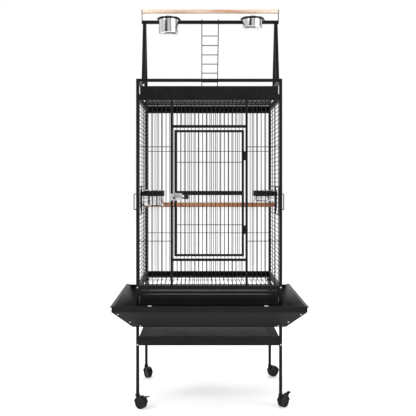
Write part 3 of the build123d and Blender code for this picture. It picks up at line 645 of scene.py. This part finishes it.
def steelCup(nodeName, pieceName):
    low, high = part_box(nodeName)
    middle = ((low.x + high.x) / 2, (low.y + high.y) / 2, 0)
    lipRadius = (high.x - low.x) / 2
    lip = 0.0035 if nodeName.startswith("play") else 0.003
    wallRadius = lipRadius - lip
    corner, wall = cupShape["corner"], cupShape["wall"]
    rings = [(wallRadius - corner - 0.004, low.z + 0.0012), (wallRadius - corner - 0.001, low.z)]
    for step in range(cupShape["cornerSteps"] + 1):
        turn = math.pi / 2 * step / cupShape["cornerSteps"]
        rings.append(
            (wallRadius - corner + corner * math.sin(turn), low.z + corner - corner * math.cos(turn))
        )
    lipMiddle = high.z - cupShape["lipDrop"] / 2
    rings += [
        (wallRadius, lipMiddle - 0.0014), (wallRadius + lip * 0.55, lipMiddle - 0.0012),
        (lipRadius - 0.0003, lipMiddle - 0.0009), (lipRadius, lipMiddle),
        (lipRadius - 0.0004, high.z - 0.0003),
        (lipRadius - lip * 0.5, high.z), (wallRadius, high.z - 0.0002), (wallRadius - wall, high.z - 0.0012),
    ]
    inner = wallRadius - wall
    for step in range(cupShape["cornerSteps"] + 1):
        turn = math.pi / 2 * (1 - step / cupShape["cornerSteps"])
        rings.append(
            (inner - corner + corner * math.sin(turn), low.z + wall + corner - corner * math.cos(turn))
        )
    rings.append((inner - corner - 0.003, low.z + wall + 0.0012))
    cup = turned(middle, rings, 56)
    return finishPiece(cup, pieceName, bodyOf[nodeName], "polished_steel", [nodeName], 50)


steelCup("play_cup_left", "playCupLeft")
steelCup("play_cup_right", "playCupRight")
steelCup("feeder_cup_left", "feederCupLeft")
steelCup("feeder_cup_right", "feederCupRight")


# wire rings for the play-top cups, with a curled end at the right

def wireRing(middle, radius, wire):
    clearSelection()
    bpy.ops.mesh.primitive_torus_add(
        location=middle, major_radius=radius, minor_radius=wire, major_segments=56, minor_segments=10,
    )
    ring = bpy.context.object
    applyPlace(ring)
    return ring


playRing = {"wire": 0.0036, "arm": 0.012, "armWire": 0.0028, "curl": 0.007, "curlWire": 0.0018}
crossLow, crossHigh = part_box("play_crossbar")
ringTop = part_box("play_cup_rings")[1].z
ringParts = []
for cupName in ("play_cup_left", "play_cup_right"):
    low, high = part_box(cupName)
    middle = Vector(((low.x + high.x) / 2, (low.y + high.y) / 2, ringTop - 0.0003 - playRing["wire"]))
    radius = (high.x - low.x) / 2 - 0.0035 + playRing["wire"] + 0.0006
    ringParts.append(wireRing(middle, radius, playRing["wire"]))
    for side in (-1, 1):
        # two arms run back to the plate that is screwed to the crossbar
        start = middle + Vector((side * playRing["arm"], math.sqrt(radius ** 2 - playRing["arm"] ** 2), 0))
        ringParts.append(rod(start, (start.x, crossLow.y - 0.0006, start.z), playRing["armWire"], 10))
    ringParts.append(softBlock(
        (middle.x - 0.018, crossLow.y - 0.0022, crossLow.z + 0.0004),
        (middle.x + 0.018, crossLow.y - 0.0002, middle.z + playRing["wire"]), 0.0008,
    ))
    # the curled end of the wire
    curl = []
    for step in range(9):
        turn = math.pi * 1.5 * step / 8
        away = radius + playRing["curl"] * (0.2 + 0.9 * math.sin(turn * 0.62))
        curl.append(
            middle + Vector(
                (
                    away * math.cos(turn * 0.09), away * math.sin(turn * 0.09) * 0.6,
                    -0.010 * (1 - math.cos(turn)) / 2,
                )
            )
        )
    ringParts.append(bentWire(curl, playRing["curlWire"]))
finishPiece(joinPieces(ringParts), "playCupRings", "cage", "black_powder_coat", ["play_cup_rings"])
print("cups made")


# pan-head screws with a cross recess

def makeScrew():
    head = turned((0, 0, 0), [
        (0.0037, 0), (0.0038, 0.0007), (0.0035, 0.0014), (0.0027, 0.0020), (0.0014, 0.0023),
    ], 20)
    slots = [softBlock((-0.0005, -0.0020, 0.0012), (0.0005, 0.0020, 0.0040), 0.0001, 1),
             softBlock((-0.0020, -0.0005, 0.0012), (0.0020, 0.0005, 0.0040), 0.0001, 1)]
    cutter = joinPieces(slots)
    cut = head.modifiers.new("Recess", "BOOLEAN")
    cut.operation = "DIFFERENCE"
    cut.object = cutter
    cut.solver = "EXACT"
    cut.use_self = True
    applyModifiers(head)
    bpy.data.meshes.remove(cutter.data)
    return head


screwModel = makeScrew()


# wood perches: turned ends, and a surface that was never quite round

def woodPerch(nodeName, pieceName, finish, wobble, chamfer=0.0022):
    low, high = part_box(nodeName)
    radius = (high.z - low.z) / 2
    length = high.x - low.x
    middle = (low + high) / 2
    rings = [(radius - chamfer, 0), (radius, chamfer)]
    bands = 40
    for step in range(1, bands):
        swell = wobble * (0.5 * math.sin(step * 0.37 + radius * 900) + 0.5 * math.sin(step * 0.83))
        rings.append((radius - wobble + swell, chamfer + (length - 2 * chamfer) * step / bands))
    rings += [(radius, length - chamfer), (radius - chamfer, length)]
    perch = turned((0, 0, 0), rings, 28)
    perch.matrix_world = (
        Matrix.Translation((low.x, middle.y, middle.z)) @ Matrix.Rotation(math.radians(90), 4, "Y")
    )
    return finishPiece(perch, pieceName, bodyOf[nodeName], finish, [nodeName], 40)


woodPerch("play_perch", "playPerch", "pale_wood", 0.00035)
woodPerch("inner_perch", "innerPerch", "orange_wood", 0.0003)

# the perch's own screws: washer, hub and wings outside the cage wires
low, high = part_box("inner_perch_fixings")
perchY, perchZ = (low.y + high.y) / 2, (low.z + high.z) / 2
fixingParts = []
for side in (-1, 1):
    outer = side * (cage["planeX"] + cage["wire"])
    turnOut = Matrix.Rotation(side * math.radians(90), 4, "Y")
    washer = turned((0, 0, 0), [(0.0115, 0.0001), (0.012, 0.0005), (0.012, 0.0012), (0.0115, 0.0016)], 28)
    hub = turned((0, 0, 0), [(0.0062, 0.0016), (0.0062, 0.0048), (0.0048, 0.0075), (0.0035, 0.0082)], 24)
    shank = turned((0, 0, 0), [(0.0027, -0.028), (0.0029, -0.027), (0.0029, 0.0100), (0.0024, 0.0108)], 14)
    parts = [washer, hub, shank]
    for wing in (-1, 1):
        blade = softBlock(
            (wing * 0.0078 - 0.0036, -0.0012, 0.0026), (wing * 0.0078 + 0.0036, 0.0012, 0.0112), 0.0011,
            3,
        )
        parts.append(blade)
    nut = joinPieces(parts)
    nut.matrix_world = Matrix.Translation((outer, perchY, perchZ)) @ turnOut
    applyPlace(nut)
    fixingParts.append(nut)
finishPiece(joinPieces(fixingParts), "innerPerchFixings", "cage", "zinc_fixings", ["inner_perch_fixings"])
low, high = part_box("play_perch_brackets")
perchLevel = sum(corner.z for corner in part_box("play_perch")) / 2
bracket = {"sheet": 0.0025, "half": 0.008}
bracketParts = []
for side, end in ((-1, crossLow.x), (1, crossHigh.x)):
    lowX, highX = sorted((end, end - side * bracket["sheet"]))
    bracketParts.append(
        softBlock(
            (lowX, -bracket["half"], crossHigh.z + 0.0001), (highX, bracket["half"], high.z), 0.0009,
        )
    )
    screw = copyPiece(screwModel)
    screwSeat = Matrix.Translation((end - side * 0.0002, 0, perchLevel))
    screw.matrix_world = screwSeat @ Matrix.Rotation(side * math.radians(90), 4, "Y")
    applyPlace(screw)
    bracketParts.append(screw)
finishPiece(
    joinPieces(bracketParts), "playPerchBrackets", "cage", "black_powder_coat", ["play_perch_brackets"],
)
print("perches made")


# ladder: round rails and rungs, with hooks over the crossbar

ladderLow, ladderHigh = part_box("ladder")
axis = Vector(joints["ladder_hinge"]["pos_m"])
ladderShape = {
    "wire": 0.002, "hook": 0.013, "firstRung": 0.2, "rungStep": 0.0496, "rungs": 7, "hookInner": 0.011,
}
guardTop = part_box("play_base_frame")[1].z
reach, drop = cage["planeY"], axis.z - guardTop - 0.0004
straight = math.hypot(reach, drop)
lean = math.acos(ladderShape["hookInner"] / straight) - math.atan2(drop, reach)
downWay = Vector((0, math.sin(lean), -math.cos(lean)))
outWay = Vector((0, math.cos(lean), math.sin(lean)))
ladderLength = math.sqrt(straight ** 2 - ladderShape["hookInner"] ** 2)
railX = (ladderHigh.x - ladderLow.x) / 2 - ladderShape["wire"]
ladderParts = []
for side in (-1, 1):
    across = Vector((side * railX, 0, 0))
    top = axis + outWay * ladderShape["hook"] + across
    ladderParts.append(rod(top, top + downWay * ladderLength, ladderShape["wire"], 10))
    hook = []
    for step in range(13):
        # from the rail's own line over the top of the bar and down its front
        turn = lean + math.radians(215) * step / 12
        hook.append(axis + across + Vector((0, math.cos(turn), math.sin(turn))) * ladderShape["hook"])
    ladderParts.append(bentWire([top + downWay * 0.004] + hook, ladderShape["wire"]))
for place in range(ladderShape["rungs"]):
    along = ladderShape["firstRung"] * ladderLength + ladderShape["rungStep"] * place
    middle = axis + outWay * (ladderShape["hook"] + 0.001) + downWay * along
    ladderParts.append(
        rod(
            middle - Vector((railX + 0.001, 0, 0)), middle + Vector((railX + 0.001, 0, 0)),
            ladderShape["wire"], 10,
        )
    )
finishPiece(joinPieces(ladderParts), "ladder.wire", "ladder", "black_powder_coat", ["ladder"])
print("ladder made")


# casters, built once in their own frame: X along the trail, Z up, stem over the origin

casterShape = {
    "wheel": 0.025, "trail": 0.018, "wheelMiddle": 0.0074,
    "hood": 0.028, "hoodHalf": 0.01375, "hoodWall": 0.0014, "flange": 0.0045, "cut": 0.002,
}
tipOut = Matrix.Rotation(math.radians(-90), 4, "X")
tipIn = Matrix.Rotation(math.radians(90), 4, "X")


def makeHood():
    shape = casterShape
    axle = Vector((shape["trail"], 0, shape["wheel"]))
    clearSelection()
    bpy.ops.mesh.primitive_cylinder_add(
        vertices=48, radius=shape["hood"], depth=2 * shape["hoodHalf"], location=axle,
        rotation=(math.radians(90), 0, 0),
    )
    shell = bpy.context.object
    applyPlace(shell)
    pickFaces(shell, lambda face: abs(face.normal.y) > 0.9)
    bpy.ops.mesh.inset(thickness=shape["flange"], use_individual=True)
    bpy.ops.mesh.delete(type="FACE")
    bpy.ops.object.mode_set(mode="OBJECT")
    softRim = shell.modifiers.new("Rim", "BEVEL")
    softRim.width = 0.003
    softRim.segments = 3
    softRim.limit_method = "ANGLE"
    softRim.angle_limit = math.radians(60)
    applyModifiers(shell)
    pick(shell)
    bpy.ops.object.mode_set(mode="EDIT")
    bpy.ops.mesh.select_all(action="SELECT")
    bpy.ops.mesh.bisect(plane_co=axle + up * shape["cut"], plane_no=(0, 0, 1), clear_inner=True)
    bpy.ops.object.mode_set(mode="OBJECT")
    outwardNormals(shell)
    wall = shell.modifiers.new("Wall", "SOLIDIFY")
    wall.thickness = shape["hoodWall"]
    wall.offset = -1
    applyModifiers(shell)
    disc = turned((0, 0, 0), [(0.0165, -0.0025), (0.017, -0.002), (0.017, 0.002), (0.0165, 0.0025)], 32)
    disc.matrix_world = Matrix.Translation(axle) @ tipOut
    web = softBlock((-0.007, -0.0024, 0.030), (0.030, 0.0024, 0.0505), 0.0008)
    neck = turned((0, 0, 0), [
        (0.0080, 0.0478), (0.0092, 0.0486), (0.0092, 0.0526), (0.0070, 0.0536),
        (0.0040, 0.0538), (0.0040, 0.078),
    ], 28)
    for part in (disc, web, neck):
        applyPlace(part)
    return joinPieces([shell, disc, web, neck])


def makeWheels():
    # the rim stands proud of a recessed web, with a hub cap in the middle
    profile = [
        (0.0042, 0.0041), (0.0056, 0.0037), (0.0061, 0.0022), (0.0135, 0.0015), (0.0185, 0.0018),
        (0.0195, 0.0041), (0.0205, 0.0045), (0.0234, 0.0044), (0.0247, 0.0033), (0.0250, 0.0012),
        (0.0250, -0.0026), (0.0243, -0.0041), (0.0232, -0.0045), (0.0060, -0.0045),
    ]
    parts = []
    for side, tip in ((1, tipOut), (-1, tipIn)):
        wheel = turned((0, 0, 0), profile, 44)
        wheel.matrix_world = Matrix.Translation(
            (casterShape["trail"], side * casterShape["wheelMiddle"], casterShape["wheel"])
        ) @ tip
        applyPlace(wheel)
        parts.append(wheel)
    middle = (casterShape["trail"], -0.0028, casterShape["wheel"])
    parts.append(rod(middle, (middle[0], 0.0028, middle[2]), 0.003, 16))
    return joinPieces(parts)


def makeBrakeEars():
    parts = [
        softBlock(
            (0.0345, side * 0.0097 - 0.001, 0.0465), (0.0440, side * 0.0097 + 0.001, 0.0535), 0.0008,
        )
        for side in (-1, 1)
    ]
    parts.append(rod((0.040, -0.0105, 0.050), (0.040, 0.0105, 0.050), 0.0015, 12))
    return joinPieces(parts)


def makeBrake():
    pivot = Vector((0.040, 0, 0.050))
    hub = rod(pivot - Vector((0, 0.0082, 0)), pivot + Vector((0, 0.0082, 0)), 0.0034, 18)
    arm = softBlock(
        pivot + Vector((0.0015, -0.0080, -0.0010)), pivot + Vector((0.0200, 0.0080, 0.0022)), 0.0010, 3,
    )
    ribs = [
        softBlock(
            pivot + Vector((0.006 + 0.004 * place, -0.0062, 0.0018)),
            pivot + Vector((0.0075 + 0.004 * place, 0.0062, 0.0030)), 0.0004,
        )
        for place in range(3)
    ]
    lever = joinPieces([arm] + ribs)
    turnedTo(lever, pivot, Matrix.Rotation(math.radians(-19), 4, "Y"))
    return joinPieces([lever, hub])


hoodModel, wheelsModel, earsModel, brakeModel = makeHood(), makeWheels(), makeBrakeEars(), makeBrake()
for corner in ("front_left", "front_right", "back_left", "back_right"):
    swivel = Vector(joints["caster_" + corner + "_swivel"]["pos_m"])
    across = Vector(joints["wheels_" + corner + "_roll"]["axis"])
    forward = Vector((across.y, -across.x, 0))
    stand = Matrix((
        (forward.x, across.x, 0, swivel.x), (forward.y, across.y, 0, swivel.y), (0, 0, 1, 0), (0, 0, 0, 1),
    ))
    label = corner.title().replace("_", "")
    hoodParts = [copyPiece(hoodModel)] + ([copyPiece(earsModel)] if corner.startswith("front") else [])
    hood = joinPieces(hoodParts)
    hood.matrix_world = stand
    finishPiece(
        hood, "casterHood" + label, "caster_" + corner, "black_plastic", ["caster_hood_" + corner], 32,
    )
    wheels = copyPiece(wheelsModel)
    wheels.matrix_world = stand
    finishPiece(
        wheels, "casterWheels" + label, "wheels_" + corner, "wheel_plastic", ["caster_wheels_" + corner],
        32,
    )
    if corner.startswith("front"):
        brake = copyPiece(brakeModel)
        brake.matrix_world = stand
        finishPiece(
            brake, "casterBrake" + label, "brake_" + corner, "black_plastic", ["caster_brake_" + corner],
            32,
        )
for model in (hoodModel, wheelsModel, earsModel, brakeModel):
    bpy.data.meshes.remove(model.data)
print("casters made")


# feeder doors, cup holders and their wire latches

feeder = {
    "frame": 0.002, "panelIn": 0.0028, "band": 0.0015, "strap": 0.020,
    "barrel": 0.003, "barrelSpan": (0.8345, 0.9055), "bossSpan": (0.845, 0.875),
}


def feederDoor(side, name):
    hinge = joints["feeder_door_" + name + "_hinge"]["pos_m"]
    x = hinge[0] - side * feeder["panelIn"]
    low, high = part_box("feeder_door_" + name)
    edgeY = hinge[1] - 0.0055
    frontEdge, wire = low.y + feeder["frame"], feeder["frame"]
    parts = []
    for y in (frontEdge, edgeY):
        parts.append(rod((x, y, low.z), (x, y, high.z), wire, 10))
    for z in (low.z + wire, high.z - wire):
        parts.append(rod((x, low.y, z), (x, edgeY + wire, z), wire, 10))
    inside = [z for z in sideLevels if low.z + 0.008 < z < high.z - 0.008]
    parts.append(
        rodRow(
            (x - side * 0.001, low.y + 0.001, inside[0]), (x - side * 0.001, edgeY + 0.001, inside[0]),
            cage["wire"], (0, 0, sideStep), len(inside),
        )
    )
    barrelLow, barrelHigh = feeder["barrelSpan"]
    bossLow, bossHigh = feeder["bossSpan"]
    parts.append(rod((hinge[0], hinge[1], barrelLow), (hinge[0], hinge[1], barrelHigh), feeder["barrel"], 16))
    lowX, highX = sorted((x - side * 0.0014, x + side * 0.0014))
    parts.append(
        softBlock(
            (lowX, edgeY - 0.001, barrelLow + 0.001), (highX, hinge[1] - 0.001, barrelHigh - 0.001),
            0.0006,
        )
    )
    # the mounting plate and the boss that the latch handle turns in
    latch = joints["feeder_latch_" + name + "_hinge"]["pos_m"]
    lowX, highX = sorted((x - side * 0.0015, x + side * 0.0017))
    parts.append(
        softBlock(
            (lowX, latch[1] - 0.0070, low.z + 0.002), (highX, latch[1] + 0.0070, high.z - 0.002), 0.0008,
        )
    )
    lowX, highX = sorted((x + side * 0.0014, latch[0] + side * 0.0040))
    bossCorner = (highX, latch[1] + 0.0050, bossHigh)
    parts.append(softBlock((lowX, latch[1] - 0.0050, bossLow), bossCorner, 0.0018, 3))
    finishPiece(
        joinPieces(parts), "feederDoor" + name.capitalize(), "feeder_door_" + name, "black_powder_coat",
        ["feeder_door_" + name],
    )


def feederHolder(side, name):
    # a flat band round the cup, and two straps that carry it from the door
    low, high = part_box("feeder_holder_" + name)
    outer = (high.y - low.y) / 2
    middleY = (low.y + high.y) / 2
    middleX = (low.x + outer) if side > 0 else (high.x - outer)
    clearSelection()
    bpy.ops.mesh.primitive_cylinder_add(
        vertices=56, radius=outer, depth=high.z - low.z, end_fill_type="NOTHING",
        location=(middleX, middleY, (low.z + high.z) / 2),
    )
    band = bpy.context.object
    applyPlace(band)
    wall = band.modifiers.new("Wall", "SOLIDIFY")
    wall.thickness = feeder["band"]
    wall.offset = -1
    edges = band.modifiers.new("Edges", "BEVEL")
    edges.width = 0.0005
    edges.segments = 2
    edges.limit_method = "ANGLE"
    edges.angle_limit = math.radians(50)
    applyModifiers(band)
    parts = [band]
    reach = math.sqrt(outer ** 2 - feeder["strap"] ** 2) - 0.0005
    for offset in (-feeder["strap"], feeder["strap"]):
        doorSide = high.x if side > 0 else low.x
        lowX, highX = sorted((middleX + side * reach, doorSide))
        parts.append(
            softBlock(
                (lowX, middleY + offset - 0.001, low.z),
                (highX, middleY + offset + 0.001, high.z - 0.004), 0.0005,
            )
        )
        foot = sorted((doorSide, doorSide - side * 0.0014))
        parts.append(
            softBlock(
                (foot[0], middleY + offset - 0.008, low.z + 0.002),
                (foot[1], middleY + offset + 0.008, high.z - 0.006), 0.0005,
            )
        )
    finishPiece(
        joinPieces(parts), "feederHolder" + name.capitalize(), "feeder_door_" + name, "black_powder_coat",
        ["feeder_holder_" + name],
    )


def feederLatch(side, name):
    # a bent loop; the straight side next to the door is the spindle in the boss
    low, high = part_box("feeder_latch_" + name)
    pivot = joints["feeder_latch_" + name + "_hinge"]["pos_m"]
    wire, y = 0.002, pivot[1]
    near = pivot[0]
    far = (high.x if side > 0 else low.x) - side * wire
    bottom, top = low.z + wire, high.z - wire
    bend = 0.0045
    route = [
        (near, bottom + bend * 2), (near, bottom + bend), (near, bottom), (near + side * bend, bottom),
        (far - side * bend, bottom), (far, bottom), (far, bottom + bend), (far, bottom + 2 * bend),
        (far, top - 2 * bend), (far, top - bend), (far, top), (far - side * bend, top),
        (near + side * bend, top), (near, top), (near, top - bend), (near, top - 2 * bend),
    ]
    loop = bentWire([(x, y, z) for x, z in route], wire, sides=3)
    spindle = rod((near, y, bottom + bend), (near, y, top - bend), wire * 0.98, 12)
    finishPiece(
        joinPieces([loop, spindle]), "feederLatch" + name.capitalize(), "feeder_latch_" + name,
        "black_powder_coat", ["feeder_latch_" + name], 50,
    )


for side, name in ((-1, "left"), (1, "right")):
    feederDoor(side, name)
    feederHolder(side, name)
    feederLatch(side, name)
print("feeder doors made")


# main door latch: a folded housing with a rounded channel, and the bolt with its thumb knob

latchShape = {
    "plate": 0.0014, "channel": 0.0056, "boltLevel": 0.886, "boltDepth": 0.005, "boltRadius": 0.0034,
    "boltEnd": -0.103, "knobEnd": -0.1045, "grips": 4, "gripStart": -0.1010, "gripStep": 0.0036,
    "gripWidth": 0.0018,
}
low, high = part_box("latch_housing")
boltLow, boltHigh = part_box("latch_bolt")
boltZ = latchShape["boltLevel"]
boltY = low.y + latchShape["boltDepth"]
housing = [softBlock((low.x, high.y - latchShape["plate"], low.z), (high.x, high.y, high.z), 0.0006)]
housing.append(
    rod(
        (low.x + 0.001, boltY, boltZ), (high.x - 0.001, boltY, boltZ), latchShape["channel"] - 0.0006, 24,
        0.0008,
    )
)
housing.append(
    softBlock(
        (low.x + 0.001, boltY, boltZ - latchShape["channel"]),
        (high.x - 0.001, high.y - 0.0002, boltZ + latchShape["channel"]), 0.0006,
    )
)
for x in (low.x + 0.004, high.x - 0.004):
    for z in (low.z + 0.0035, high.z - 0.0040):
        rivet = turned((0, 0, 0), [(0.0020, 0), (0.0019, 0.0006), (0.0012, 0.0012), (0.0005, 0.0014)], 16)
        rivet.matrix_world = Matrix.Translation((x, high.y - latchShape["plate"], z)) @ tipIn
        applyPlace(rivet)
        housing.append(rivet)
finishPiece(joinPieces(housing), "latchHousing", "main_door", "zinc_latch", ["latch_housing"])
knobLow = (latchShape["knobEnd"], boltLow.y + 0.0003, boltLow.z)
knob = softBlock(knobLow, (boltHigh.x, boltHigh.y, boltHigh.z), 0.0032, 4)
grips = []
for place in range(latchShape["grips"]):
    left = latchShape["gripStart"] + latchShape["gripStep"] * place
    right = left + latchShape["gripWidth"]
    gripLow = (left, boltLow.y - 0.0004, boltLow.z + 0.005)
    grips.append(softBlock(gripLow, (right, boltLow.y + 0.002, boltHigh.z - 0.005), 0.0004))
boltEnd = (latchShape["boltEnd"], boltY, boltZ)
bolt = rod((boltLow.x, boltY, boltZ), boltEnd, latchShape["boltRadius"], 20, 0.0010)
finishPiece(joinPieces([bolt, knob] + grips), "latchBolt", "latch_bolt", "latch_bolt_steel", ["latch_bolt"])
print("latch made")


# screws in the skirt's corners, and where the stand meets the cage

skirtSlope = {"out": 0.079, "up": 0.075}
skirtLean = math.atan2(skirtSlope["out"], skirtSlope["up"])
for nodeName, pieceName, lean in (
    ("skirt_screws", "skirtScrews", skirtLean), ("frame_screws", "frameScrews", 0),
):
    screws = []
    for low, high in partBoxes(nodeName):
        outward = Vector((0, math.copysign(math.cos(lean), low.y), -math.sin(lean)))
        foot = (low + high) / 2 - outward * 0.00125
        screw = copyPiece(screwModel)
        screw.matrix_world = Matrix.Translation(foot) @ outward.to_track_quat("Z", "Y").to_matrix().to_4x4()
        applyPlace(screw)
        screws.append(screw)
    finishPiece(joinPieces(screws), pieceName, "cage", "zinc_fixings", [nodeName], 30)
bpy.data.meshes.remove(screwModel.data)
print("screws made")


# floor, light and camera

studio = {
    "floorSize": 40.0, "floorColor": (0.93, 0.93, 0.93), "floorGlow": 0.35, "floorRoughness": 0.8,
    "cameraPlace": (-0.034, -3.386, 0.961), "lens": 64.35, "shift": (0.0166, -0.0673),
}
clearSelection()
bpy.ops.mesh.primitive_plane_add(size=studio["floorSize"], location=(0, 0, 0))
floor = bpy.context.object
floor.name = "floor"
floorMaterial, _, floorShader, _ = newFinish("floorPaper")
floorShader.inputs["Base Color"].default_value = (*studio["floorColor"], 1)
floorShader.inputs["Roughness"].default_value = studio["floorRoughness"]
floorShader.inputs["Emission Color"].default_value = (1, 1, 1, 1)
floorShader.inputs["Emission Strength"].default_value = studio["floorGlow"]
floor.data.materials.append(floorMaterial)

# a white room with a few dark gaps between its screens, which show as stripes in polished metal
sky = bpy.data.worlds.new("studioSky")
bpy.context.scene.world = sky
sky.use_nodes = True
skyTree = sky.node_tree
screens = skyTree.nodes["Background"]
way = skyTree.nodes.new("ShaderNodeTexCoord")
around = skyTree.nodes.new("ShaderNodeTexGradient")
around.gradient_type = "RADIAL"
skyTree.links.new(way.outputs["Generated"], around.inputs["Vector"])
gaps = addRamp(skyTree, around.outputs["Fac"], [
    (0.0, (0.70, 0.70, 0.70)), (0.125, (0.80, 0.80, 0.80)), (0.14, (0.06, 0.05, 0.05)),
    (0.212, (0.06, 0.05, 0.05)), (0.228, (0.80, 0.80, 0.80)), (0.30, (0.62, 0.62, 0.63)),
    (0.335, (0.35, 0.32, 0.33)), (0.36, (0.80, 0.80, 0.80)), (0.51, (0.85, 0.85, 0.85)),
    (0.525, (0.10, 0.08, 0.08)), (0.555, (0.10, 0.08, 0.08)), (0.57, (1, 1, 1)),
    (0.93, (1, 1, 1)), (1.0, (0.70, 0.70, 0.70)),
])
skyTree.links.new(gaps, screens.inputs["Color"])
backdrop = skyTree.nodes.new("ShaderNodeBackground")
backdrop.inputs["Color"].default_value = (1, 1, 1, 1)
rays = skyTree.nodes.new("ShaderNodeLightPath")
choice = skyTree.nodes.new("ShaderNodeMixShader")
skyTree.links.new(rays.outputs["Is Camera Ray"], choice.inputs[0])
skyTree.links.new(screens.outputs["Background"], choice.inputs[1])
skyTree.links.new(backdrop.outputs["Background"], choice.inputs[2])
skyTree.links.new(choice.outputs["Shader"], skyTree.nodes["World Output"].inputs["Surface"])


def softLight(name, place, target, size, power):
    clearSelection()
    bpy.ops.object.light_add(type="AREA", location=place)
    lamp = bpy.context.object
    lamp.name = name
    lamp.data.size = size
    lamp.data.energy = power
    lamp.rotation_euler = (Vector(target) - Vector(place)).to_track_quat("-Z", "Y").to_euler()
    return lamp


softLight("keyLight", (-2.4, -2.6, 3.2), (0, 0, 0.9), 1.6, 70)
softLight("fillLight", (2.8, -2.2, 2.2), (0, 0, 0.8), 1.8, 35)
softLight("backLight", (0.6, 2.6, 3.4), (0, 0, 1.0), 1.6, 40)

bpy.ops.object.camera_add(location=studio["cameraPlace"], rotation=(math.radians(90), 0, 0))
camera = bpy.context.object
camera.data.lens = studio["lens"]
camera.data.sensor_width = 36
camera.data.shift_x, camera.data.shift_y = studio["shift"]
bpy.context.scene.camera = camera
bpy.context.scene.view_settings.view_transform = "Standard"

clearSelection()
print("studio made")
